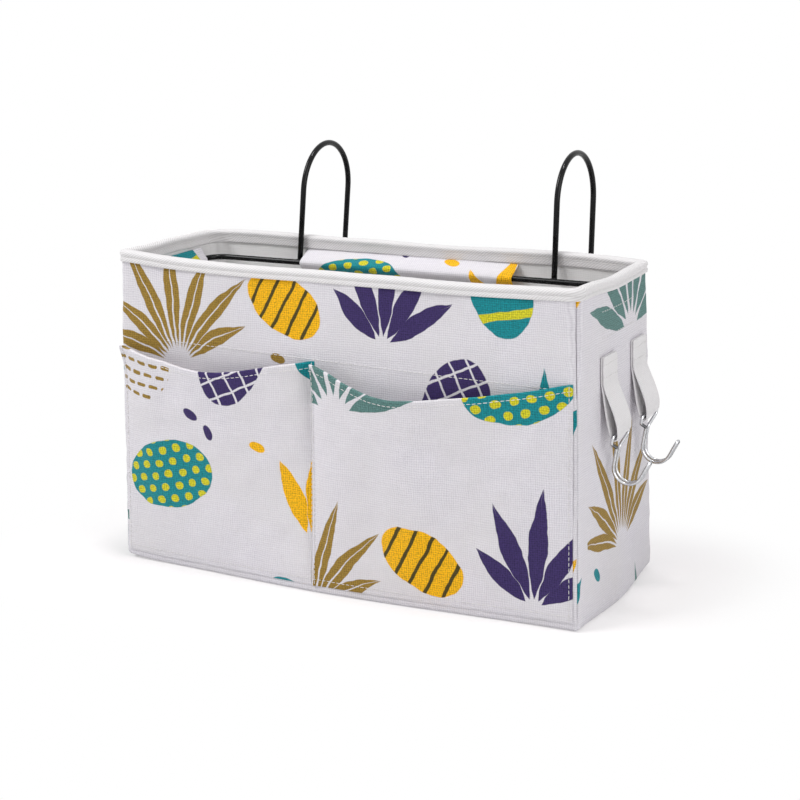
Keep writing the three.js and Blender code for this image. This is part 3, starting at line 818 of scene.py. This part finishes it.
# Colour follows the ribs' height: painted shade in the grooves, with random fuzz.
tone = node("MapRange", height, 0.0, 1.2, 0.0, 1.0)
colour = node("Mix", tone, A_Color="#D6D3D4", B_Color="#EEECED", **OF_COLOURS)
roughness = node("MapRange", tone, 0.0, 1.0, 0.95, 0.82)
cloth_look(node, colour, roughness, height, 0.4, 0.2)
dress(twill_binding, twill_tape, "bag", "twill_tape", "rim_binding")


# Front pockets: two patches of the printed cloth, hemmed along the top and sewn down at their
# sides and bottom. They are cut wider than their place, so they stand off and sag at the top,
# and the right one's edge is lapped over the left one's.
POCKET_BOTTOM = 4.6 * MM
POCKET_TOP = 138 * MM
POCKET_SEAM = 3 * MM
POCKET_GAP = 0.35 * MM
HEM_DEPTH = 4.6 * MM
HEM_THICKNESS = 1.1 * MM
HEM_FOLD = 0.8 * MM
PRESSED_SHARE = 0.45
PRESS_REACH = 1.2 * MM
# Sizes in millimetres. Steepness and fullness are for the low and the high end: how sharply
# the pocket leaves the wall beside its seam, and how far up it starts to stand off.
POCKETS = {
    "left_pocket": {
        "node": "pocket_left", "ends": (-147.6, -12.7), "low_point": 0.42, "bulge": 13,
        "top_edge": ((0, 136.0), (0.17, 131.7), (0.3, 129.0), (0.42, 127.2), (0.54, 127.0),
                     (0.64, 128.8), (0.76, 132.0), (0.88, 135.2), (1, 137.2)),
        "flare": 6, "steepness": (0.85, 0.42), "fullness": (0.85, 0.4), "cut": (150, 216),
        "seed": 31, "lap": 0.0, "roll": 0.0, "sink": 3.0,
    },
    "right_pocket": {
        "node": "pocket_right", "ends": (-13.8, 147.2), "low_point": 0.36, "bulge": 15,
        "top_edge": ((0, 136.5), (0.05, 135.4), (0.1, 132.6), (0.2, 126.4), (0.3, 123.5),
                     (0.42, 123.2), (0.57, 126.6), (0.74, 130.4), (0.87, 134.4), (1, 138.6)),
        "flare": 3.5, "steepness": (1.05, 0.9), "fullness": (0.85, 0.85), "cut": (372, 140),
        "seed": 32, "lap": 0.9, "roll": 3.4, "sink": 0.0,
    },
}


def sewn_down(across, z, width):
    """One at a pocket's sewn edges, where its folded cloth is pressed thin, and less inside."""
    from_edge = np.minimum(np.minimum(across, 1 - across) * width, z - POCKET_BOTTOM)
    return np.exp(-from_edge / PRESS_REACH)


def pocket_points(pocket, across, rise, out=0.0):
    """Points of a pocket's right side: shares across it and up it, and how far off it."""
    inside = np.clip((across - 0.02) / 0.96, 0, 1)
    shape = np.sin(math.pi * inside ** (math.log(0.5) / math.log(pocket["low_point"])))
    hem_line = np.polynomial.Polynomial.fit(*zip(*pocket["top_edge"]), 6)
    z = POCKET_BOTTOM + (hem_line(across) * MM - POCKET_BOTTOM) * rise
    narrowing = LENGTH_TAPER / 2 / BAG_HEIGHT
    low_end, high_end = (end * MM for end in pocket["ends"])
    low, high = (end - math.copysign(narrowing, end) * z * (abs(end) > 100 * MM)
                 for end in (low_end, high_end))
    x = low + (high - low) * across
    height_share = np.clip((z - POCKET_BOTTOM - POCKET_SEAM) / (POCKET_TOP - POCKET_BOTTOM), 0, 1)
    low_steep, high_steep = pocket["steepness"]
    loose = shape ** (low_steep + (high_steep - low_steep) * across)
    low_full, high_full = pocket["fullness"]
    standing = height_share ** (low_full + (high_full - low_full) * across ** 4)
    corner = np.exp(-across / 0.06) * np.clip((z - 112 * MM) / (22 * MM), 0, 1) ** 2
    from_low, from_high = (x - low) / MM, (high - x) / MM
    lapped = np.exp(-(from_low / 2.5) ** 2)
    rolled = (1 - np.exp(-from_low / 0.9)) * np.exp(-(from_low / 8) ** 2)
    sunk = (1 - np.exp(-from_high / 0.9)) * np.exp(-(from_high / 6) ** 2)
    sewn = sewn_down(across, z, high_end - low_end)
    stand_off = CLOTH * (1 - PRESSED_SHARE * sewn) + POCKET_GAP * (1 - 0.85 * sewn) + MM * (
        pocket["bulge"] * loose * standing + pocket["flare"] * corner + pocket["lap"] * lapped
        + (0.1 + 0.9 * height_share) * (pocket["roll"] * rolled - pocket["sink"] * sunk))
    stand_off = np.maximum(stand_off, CLOTH * 0.6)
    share = flat_share("front", x, z)
    smooth = on_wall("front", share, z, stand_off)
    swells = 3.2 * crumple(smooth * (1, 1, 0.3), 28 * MM, pocket["seed"])
    swells = swells + 0.9 * crumple(smooth, 12 * MM, pocket["seed"] + 5)
    free = np.clip(loose * 2.5, 0, 1) * np.clip(height_share * 5, 0, 1)
    puckers = 0.3 * crumple(smooth, 5 * MM, pocket["seed"] + 9) * np.exp(
        -(z - POCKET_BOTTOM) / (6 * MM))
    return on_wall("front", share, z, stand_off + MM * (swells * free + np.abs(puckers)) + out)


across = np.concatenate(((0, 0.008), np.linspace(0.02, 0.98, 46), (0.992, 1)))
rise = np.concatenate(((0, 0.009), np.linspace(0.0245, 0.955, 39), (0.965, 0.98, 0.992, 1.0)))
for name, pocket in POCKETS.items():
    face = pocket_points(pocket, across[:, None], rise)
    run = run_along(face[:, len(rise) // 2])
    z = face[..., 2]
    u0, v0 = pocket["cut"]
    cut = flat_places(run[:, None] + u0 * MM, z + v0 * MM)
    hem = np.clip((HEM_DEPTH - (z[:, -1:] - z)) / HEM_FOLD, 0, 1)
    pressed = 1 - PRESSED_SHARE * sewn_down(across[:, None], z, run[-1])
    piece = sewn_cloth(name, face, CLOTH * pressed + HEM_THICKNESS * hem, cut)
    dress(piece, printed_linen, "bag", "printed_cloth", pocket["node"])


# Frame wire: one ring of 3.5 mm steel wire with a black powder coat, held level just under the
# rim by the flaps. Its joint is welded and ground, under the back flap.
WIRE_RADIUS = 1.75 * MM
END_TURNS = np.radians((80, 60, 38, 16))


def tube(name, path, radius, sides, ring=False):
    """A round wire along a path of points, with rounded ends unless it is a ring."""
    path = np.array(path, float)
    if ring:
        ahead = np.roll(path, -1, axis=0) - np.roll(path, 1, axis=0)
    else:
        ahead = np.gradient(path, axis=0)
    ahead /= np.linalg.norm(ahead, axis=1, keepdims=True)
    side_axis = Vector((0, 0, 1)) if abs(ahead[0][2]) < 0.8 else Vector((1, 0, 0))
    frames = []
    for k, direction in enumerate(ahead):
        heading = Vector(direction)
        if k:
            side_axis = Vector(ahead[k - 1]).rotation_difference(heading) @ side_axis
        side_axis = (side_axis - heading * side_axis.dot(heading)).normalized()
        frames.append((side_axis.copy(), heading.cross(side_axis)))
    centres, sizes = list(path), [radius] * len(path)
    if not ring:
        first = [path[0] - ahead[0] * radius * (math.sin(a) - 1) for a in END_TURNS]
        last = [path[-1] + ahead[-1] * radius * (math.sin(a) - 1) for a in END_TURNS[::-1]]
        centres = first + centres[1:-1] + last
        narrower = [radius * math.cos(a) for a in END_TURNS]
        sizes = narrower + sizes[1:-1] + narrower[::-1]
        frames = [frames[0]] * 4 + frames[1:-1] + [frames[-1]] * 4
    angles = np.linspace(0, 2 * math.pi, sides, endpoint=False)
    points = [
        centre + size * (math.cos(a) * np.array(one) + math.sin(a) * np.array(two))
        for centre, size, (one, two) in zip(centres, sizes, frames) for a in angles
    ]
    faces = []
    count = len(centres)
    for k in range(count if ring else count - 1):
        here, there = k * sides, (k + 1) % count * sides
        for s in range(sides):
            t = (s + 1) % sides
            faces.append((here + s, here + t, there + t, there + s))
    if not ring:
        faces.append(tuple(range(sides))[::-1])
        faces.append(tuple(range((count - 1) * sides, count * sides)))
    mesh = bpy.data.meshes.new(name)
    mesh.from_pydata([tuple(p) for p in points], [], faces)
    work = bmesh.new()
    work.from_mesh(mesh)
    bmesh.ops.recalc_face_normals(work, faces=work.faces)
    work.to_mesh(mesh)
    work.free()
    mesh.shade_smooth()
    return new_object(name, mesh)


def rounded_path(corners, step=math.radians(6), ring=False):
    """A path through corners that are each rounded to a radius."""
    path = []
    for k, (corner, radius) in enumerate(corners):
        before = corners[k - 1][0] if k or ring else None
        after = corners[(k + 1) % len(corners)][0] if ring or k + 1 < len(corners) else None
        corner = Vector(corner)
        if not radius or before is None or after is None:
            path.append(corner)
            continue
        arriving = (corner - Vector(before)).normalized()
        leaving = (Vector(after) - corner).normalized()
        turn = arriving.angle(leaving)
        inward = (leaving - arriving * arriving.dot(leaving)).normalized()
        start = corner - arriving * radius * math.tan(turn / 2)
        centre = start + inward * radius
        count = max(2, math.ceil(turn / step))
        for n in range(count + 1):
            a = turn * n / count
            path.append(centre - inward * radius * math.cos(a) + arriving * radius * math.sin(a))
    clean = [path[0]]
    for point in path[1:]:
        if (point - clean[-1]).length > 0.02 * MM:
            clean.append(point)
    return clean


ring_low, ring_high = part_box("frame_ring")
RING_CORNER = 12 * MM
RING_Z = (ring_low.z + ring_high.z) / 2
left_x, front_y = ring_low.x + WIRE_RADIUS, ring_low.y + WIRE_RADIUS
right_x, back_y = ring_high.x - WIRE_RADIUS, ring_high.y - WIRE_RADIUS
ring_path = rounded_path([
    ((x, y, RING_Z), RING_CORNER)
    for x, y in ((left_x, back_y), (left_x, front_y), (right_x, front_y), (right_x, back_y))
], ring=True)
frame_wire = tube("frame_wire", ring_path, WIRE_RADIUS, 20, ring=True)

# Powder coat: near black and glossy, so the wire carries one thin highlight, broken by scuffs
# and a slight orange peel.
black_wire = grained("black_powder_coated_steel", "#0A0A0B", "#151517", (0.10, 0.20), 0.1, 0.03,
                     (6.25, 4.0), (1.43, 3.0), Specular_IOR_Level=0.2)
dress(frame_wire, black_wire, "bag", "black_wire", "frame_ring")


# Rail hooks: two lengths of the same wire bent to a U that drops over the crib's rail. The
# front leg of each is lapped behind the frame wire and welded to it.
RAIL_HOOK_SPAN = 57 * MM
RAIL_HOOK_RISE = 73 * MM
RAIL_HOOK_REAR_DROP = 26 * MM
RAIL_HOOK_FOOT = 2.2 * MM
RAIL_HOOK_LEAN = math.radians(5)
RAIL_HOOK_SWAY = {"left": math.radians(2.6), "right": 0.0}
LEG_FOOT_Y = 43.319 * MM  # The front legs stand just behind the frame wire.
WELD_HALF_SIZES = Vector((1.9, 0.9, 1.15)) * 1.5 * MM
bent_path = rounded_path([
    ((0, 0, -RAIL_HOOK_FOOT), 0),
    ((0, 0, RAIL_HOOK_RISE), RAIL_HOOK_SPAN / 2),
    ((0, RAIL_HOOK_SPAN, RAIL_HOOK_RISE), RAIL_HOOK_SPAN / 2),
    ((0, RAIL_HOOK_SPAN, -RAIL_HOOK_REAR_DROP), 0),
], step=math.radians(5))
for which, sway in RAIL_HOOK_SWAY.items():
    hook_low, hook_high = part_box(f"rail_hook_{which}")
    hook_x = (hook_low.x + hook_high.x) / 2
    stand = (Matrix.Translation((hook_x, LEG_FOOT_Y, RING_Z))
             @ Matrix.Rotation(sway, 4, "Y") @ Matrix.Rotation(-RAIL_HOOK_LEAN, 4, "X"))
    hook = tube(f"{which}_rail_hook", [stand @ p for p in bent_path], WIRE_RADIUS, 20)
    dress(hook, black_wire, "bag", "black_wire", f"rail_hook_{which}")
    work = bmesh.new()
    bmesh.ops.create_icosphere(work, subdivisions=3, radius=1.0)
    for vertex in work.verts:
        lump = 1 + 0.16 * noise.noise(vertex.co * 2.3 + Vector((hook_x * 50, 0, 0)))
        vertex.co = vertex.co * WELD_HALF_SIZES * lump
        vertex.co += Vector((hook_x, (LEG_FOOT_Y + back_y) / 2, RING_Z))
    weld_mesh = bpy.data.meshes.new(f"{which}_weld")
    work.to_mesh(weld_mesh)
    work.free()
    weld_mesh.shade_smooth()
    dress(new_object(f"{which}_weld", weld_mesh), black_wire, "bag", "black_wire")


# Flaps: strips of the printed cloth that come down from the rim seam, pass over the frame wire
# and are sewn to the wall below it, so they sheathe the wire and hold it.
FLAP_CLOTH = 1.0 * MM
FLAP_AT_WALL = LINING_DEPTH + 0.35 * MM
FLAP_OFF_WIRE = 0.4 * MM
WIRE_TOP, WIRE_UNDER = RING_Z + WIRE_RADIUS, RING_Z - WIRE_RADIUS
# The flap's line from its tail up to the rim: shares of the way from the wall to the wire's
# inner side, thicknesses of the flap inward of that, and heights.
FLAP_LINE = (
    (0, 1.0, RING_Z - 15.8 * MM), (0, 1.0, RING_Z - 12.5 * MM), (0, 1.0, WIRE_UNDER - 7.2 * MM),
    (0.4, 1.0, WIRE_UNDER - 4.6 * MM), (0.8, 1.0, WIRE_UNDER - 2.2 * MM),
    (1, 0.95, RING_Z - WIRE_RADIUS * 0.8), (1, 1.0, RING_Z), (1, 0.9, RING_Z + WIRE_RADIUS * 0.5),
    (1, -0.5, WIRE_TOP + 0.6 * MM), (0.55, 0, WIRE_TOP + 2.6 * MM),
    (0, 0.9, BINDING_EDGE - 0.8 * MM), (0, 0.6, BINDING_EDGE),
)


def flap_piece(side, wire_inset, low, high, cut, seed):
    """A flap from the rim over the wire to its sewn tail; low and high are along the wall."""
    over = wire_inset + WIRE_RADIUS + FLAP_OFF_WIRE
    line = np.array([(over * share + FLAP_AT_WALL * (1 - share) + inward * FLAP_CLOTH, z)
                     for share, inward, z in FLAP_LINE])
    deep, z = line[:, 0], line[:, 1]
    places = np.linspace(low, high, max(8, round((high - low) / (3 * MM))))
    if side == "right":
        shares = flat_share(side, places[:, None], z, -deep)[::-1]
    else:
        shares = flat_share(side, -places[:, None], z, -deep)
    smooth = on_wall(side, shares, z, -deep, swayed=False)
    wave = MM * 0.45 * np.abs(crumple(smooth, 9 * MM, seed))
    at_ring = np.exp(-((z - RING_Z) / (6 * MM)) ** 2)
    face = on_wall(side, shares, z, -deep - wave * at_ring, swayed=False)
    rise = run_along(line)
    u0, v0 = cut
    flat = flat_places((places - low)[:, None] + u0 * MM, rise + v0 * MM)
    piece = sewn_cloth(f"{side}_flap", face, CLOTH, flat)
    dress(piece, printed_linen, "bag", "printed_cloth", f"flap_{side}")


back_low, back_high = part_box("flap_back")
side_low, side_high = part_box("flap_left")
_, back_stand = wall_reach("back", RING_Z)
_, end_stand = wall_reach("left", RING_Z)
flap_piece("back", back_stand - back_y, back_low.x, back_high.x, (148, 28), 41)
flap_piece("left", end_stand - right_x, side_low.y, side_high.y, (250, 176), 42)
flap_piece("right", end_stand - right_x, side_low.y, side_high.y, (20, 140), 43)


# Tape loops: a cotton tape folded in two round the eye of its hook, with both ends sewn to the
# right wall one on the other. Below the last row of stitches the two layers part.
TAPE = 1.15 * MM
TAPE_WIDTH = 21 * MM
TAPE_SKEW = math.tan(math.radians(6))
EYE_ROOM = 1.35 * MM
SEAT = 0.05 * MM
TAB_LEVELS = tuple(z * MM for z in (147, 143.5, 139, 134.5, 131.5))
TAB_ROWS = (142.5 * MM, 135.3 * MM)
TAB_ROW_HALF = 9.5 * MM
ON_CLOTH = 0.1 * MM
FOLD_TURNS = np.radians((0, 35, 70, 105, 140, 180))
# Shares of the way down the loop, and how far its outer and inner layer stand off the middle.
OUTER_SLACK = ((0.12, 1.4), (0.3, 2.2), (0.5, 3.1), (0.7, 3.7), (0.88, 3.5))
INNER_SLACK = ((0.86, -2.9), (0.66, -2.8), (0.46, -2.3), (0.28, -1.7), (0.12, -1.3))
# Cotton tape: cream, matt and closely woven.
cotton_tape = plain_cloth("plain_cotton_tape", 0.9, 0.5, "#D9D6D8", "#F0EEEF", 0.5, 0.1)

joints = {joint["name"]: Vector(joint["pos_m"]) for joint in frame["joints"]}
tab_rows = []
for which in ("front", "rear"):
    hinge, eye = joints[f"{which}_loop_swing"], joints[f"{which}_hook_swing"]
    root = Vector((hinge.x - TAPE, hinge.y, hinge.z))
    loop_length = (eye - root).length
    down = (eye - root).normalized()
    aside = Vector((-down.z, 0, down.x))
    fold = EYE_ROOM + TAPE
    bent = [(loop_length * share, off * MM) for share, off in OUTER_SLACK]
    bent += [(loop_length + fold * math.sin(a), fold * math.cos(a)) for a in FOLD_TURNS]
    bent += [(loop_length * share, off * MM) for share, off in INNER_SLACK]
    hanging = [root + down * far + aside * off for far, off in bent]
    line = np.array(
        [(hinge.x - SEAT, z) for z in TAB_LEVELS] + [(point.x, point.z) for point in hanging]
        + [(hinge.x - 2 * TAPE - SEAT, z) for z in TAB_LEVELS[::-1]])
    for sewn in (slice(5), slice(-5, None)):
        line[sewn, 0] -= LENGTH_TAPER / 2 / BAG_HEIGHT * (line[sewn, 1] - hinge.z)
    places = np.linspace(-TAPE_WIDTH / 2, TAPE_WIDTH / 2, 9)[:, None]
    skew = np.clip((hinge.z - line[:, 1]) / loop_length, 0, 1) * TAPE_SKEW
    face = np.stack(np.broadcast_arrays(
        line[:, 0], hinge.y + places, line[:, 1] + skew * places), axis=-1)
    rise = run_along(line)
    piece = sewn_cloth(f"{which}_tape", face[::-1], TAPE, flat_places(places, rise)[::-1])
    dress(piece, cotton_tape, None, "loop_tape", f"loop_tab_{which}", f"tape_loop_{which}")
    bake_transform(piece)
    for z in TAB_ROWS:
        x = np.interp(z, line[4::-1, 1], line[4::-1, 0]) + ON_CLOTH
        tab_rows.append([(x, hinge.y + y, z)
                         for y in np.linspace(-TAB_ROW_HALF, TAB_ROW_HALF, 12)])


# Side hooks: one length of chromed spring wire each, bent to a flat eye that the tape holds, a
# double shank and an open hook whose tip is the wire's own fold.
HOOK_WIRE = 0.9 * MM
HOOK_TILT = math.radians(10.095)
EYE_HALF = TAPE_WIDTH / 2 + 1.1 * MM + HOOK_WIRE
EYE_DROP = 4.2 * MM
EYE_HEIGHT = 9 * MM
EYE_BEND = 2 * MM
HALF_SHANK = 2.1 * MM
SHANK_LENGTH = 10.5 * MM
HOOK_BEND = 8.5 * MM
LIP_ANGLE = math.radians(72)
LIP_LENGTH = 8 * MM
# Chrome plate on drawn wire: bright and nearly smooth, with faint draw marks. Its near-black
# edge tint is painted reflection: it darkens the wire's edges as if they mirrored a dark room.
chromed_wire = grained(
    "chrome_plated_spring_wire", "#B2B4B8", "#FAFAFC", (0.05, 0.11), 0.15, 0.03, (2.38, 3.0),
    Metallic=1.0, Specular_Tint="#101114")
reach = HOOK_BEND * math.tan((math.pi / 2 + LIP_ANGLE) / 2)
turning = -EYE_HEIGHT - SHANK_LENGTH - reach
tip = reach + LIP_LENGTH + HALF_SHANK
half_wire = [
    ((0, EYE_HALF, 0), EYE_BEND),
    ((0, EYE_HALF, -EYE_DROP), EYE_BEND),
    ((0, HALF_SHANK, -EYE_HEIGHT), EYE_BEND),
    ((0, HALF_SHANK, turning), HOOK_BEND),
    ((tip * math.cos(LIP_ANGLE), HALF_SHANK, turning + tip * math.sin(LIP_ANGLE)), HALF_SHANK),
]
other_half = [((x, -y, z), bend) for (x, y, z), bend in half_wire[::-1]]
hook_path = rounded_path(half_wire + other_half, step=math.radians(9), ring=True)
for which in ("front", "rear"):
    hang = Matrix.Translation(joints[f"{which}_hook_swing"]) @ Matrix.Rotation(HOOK_TILT, 4, "Y")
    hook = tube(f"{which}_hook", [hang @ p for p in hook_path], HOOK_WIRE, 16, ring=True)
    dress(hook, chromed_wire, f"{which}_hook", "chromed_wire", f"side_hook_{which}")


# Stitches: off-white polyester thread, lockstitched at about 3 mm. A row shows as short
# rounded threads that dip into the cloth at each end.
stitch_row = bpy.data.node_groups.new("stitch_row", "GeometryNodeTree")
for label, kind in (("Seams", "Geometry"), ("Pitch", "Float"), ("Stitch Length", "Float"),
                    ("Thread Radius", "Float"), ("Thread", "Material")):
    stitch_row.interface.new_socket(label, in_out="INPUT", socket_type="NodeSocket" + kind)
stitch_row.interface.new_socket("Stitches", in_out="OUTPUT", socket_type="NodeSocketGeometry")
node = partial(add, stitch_row)
seams, pitch, stitch_length, thread_radius, material = list(
    node("NodeGroupInput").node.outputs)[:-1]
spaced = node("GeometryNodeResampleCurve", Curve=node("GeometryNodeMeshToCurve", seams),
              Length=pitch, mode="LENGTH")
half_stitch = node("MULTIPLY", stitch_length, 0.5)
one_stitch = node(
    "GeometryNodeTransform", Geometry=node("GeometryNodeMeshUVSphere", 6, 5, 1.0),
    Scale=node("CombineXYZ", thread_radius, thread_radius, half_stitch))
jitter = node("FunctionNodeRandomValue", Min=(-0.06, -0.06, -0.06), Max=(0.06, 0.06, 0.06),
              Seed=7, data_type="FLOAT_VECTOR")
uneven = node("VECTOR ADD", node("GeometryNodeInputTangent"), jitter)
facing = node("FunctionNodeAlignRotationToVector", Vector=uneven, axis="Z")
laid = node("GeometryNodeInstanceOnPoints", Points=spaced, Instance=one_stitch, Rotation=facing)
real = node("GeometryNodeRealizeInstances", laid)
shaded = node("GeometryNodeSetShadeSmooth", Geometry=real)
node("NodeGroupOutput", node("GeometryNodeSetMaterial", Geometry=shaded, Material=material))

# Spun polyester: off-white and dull, with a fine twist.
THREAD_RADIUS = 0.22 * MM
thread = grained("spun_polyester_thread", "#D8D5D5", "#F0EEEE", 0.6, 0.4, 0.06, (0.4, 2.0),
                 Sheen_Weight=0.1)


def sew(name, rows, pitch=3.1 * MM, stitch=2.5 * MM, slot_name="twill_tape"):
    """Rows of stitches along paths of points, as one piece."""
    points, edges = [], []
    for row in rows:
        edges += [(len(points) + k, len(points) + k + 1) for k in range(len(row) - 1)]
        points += [tuple(p) for p in row]
    mesh = bpy.data.meshes.new(name + "_seams")
    mesh.from_pydata(points, edges, [])
    seams = new_object(name + "_seams", mesh)
    sewing = seams.modifiers.new("stitch_row", "NODES")
    sewing.node_group = stitch_row
    sizes = {"Pitch": pitch, "Stitch Length": stitch, "Thread Radius": THREAD_RADIUS,
             "Thread": thread}
    for item in stitch_row.interface.items_tree:
        if item.in_out == "INPUT" and item.name in sizes:
            sewing[item.identifier] = sizes[item.name]
    graph = bpy.context.evaluated_depsgraph_get()
    sewn = bpy.data.meshes.new_from_object(seams.evaluated_get(graph), depsgraph=graph)
    bpy.data.objects.remove(seams)
    dress(new_object(name, sewn), thread, "bag", slot_name)


# Rows on the binding lie in its groove, outside and inside; rows on the pockets run along the
# hem, down both sides and along the bottom; the flaps and tabs are sewn through the walls.
groove_rows = []
for groove in ((-0.6 * MM, 185.8 * MM), (5.3 * MM, 185.6 * MM)):
    groove_rows.append(np.concatenate([
        binding_points(side, *wall_columns(BINDING_SPACING, side)[:2], np.array([groove]))[:, 0]
        for side in SIDES]))
sew("binding_stitches", groove_rows)

pocket_rows = []
sideways, up = np.linspace(0.012, 0.988, 60), np.linspace(0.02, 0.985, 50)
for pocket in POCKETS.values():
    for row_across, row_rise in ((sideways, 0.972), (sideways, 0.033), (0.013, up), (0.987, up)):
        row = np.broadcast_arrays(row_across, row_rise)
        pocket_rows.append(pocket_points(pocket, *row, ON_CLOTH))
sew("pocket_stitches", pocket_rows)


def wall_row(side, low, high, *heights):
    """A row of stitches on the outside of a wall, between two places along it."""
    along = np.linspace(low, high, 40)
    z = np.linspace(heights[0], heights[-1], 40)
    shares = flat_share(side, along * (1 if side in ("front", "right") else -1), z)
    swell = bag_creases(side, on_wall(side, shares, z), along, z)
    return on_wall(side, shares, z, swell + ON_CLOTH)


sew("wall_stitches", [
    *(wall_row(side, side_low.y, side_high.y, z)
      for side in ("left", "right") for z in (172 * MM, 156.5 * MM)),
    *(wall_row("back", back_low.x, back_high.x, z) for z in (171 * MM, 160.5 * MM)),
    wall_row("front", -113 * MM, 138 * MM, 140 * MM, 134.6 * MM),
])
sew("tab_stitches", tab_rows, pitch=2.6 * MM, stitch=2.1 * MM, slot_name="loop_tape")
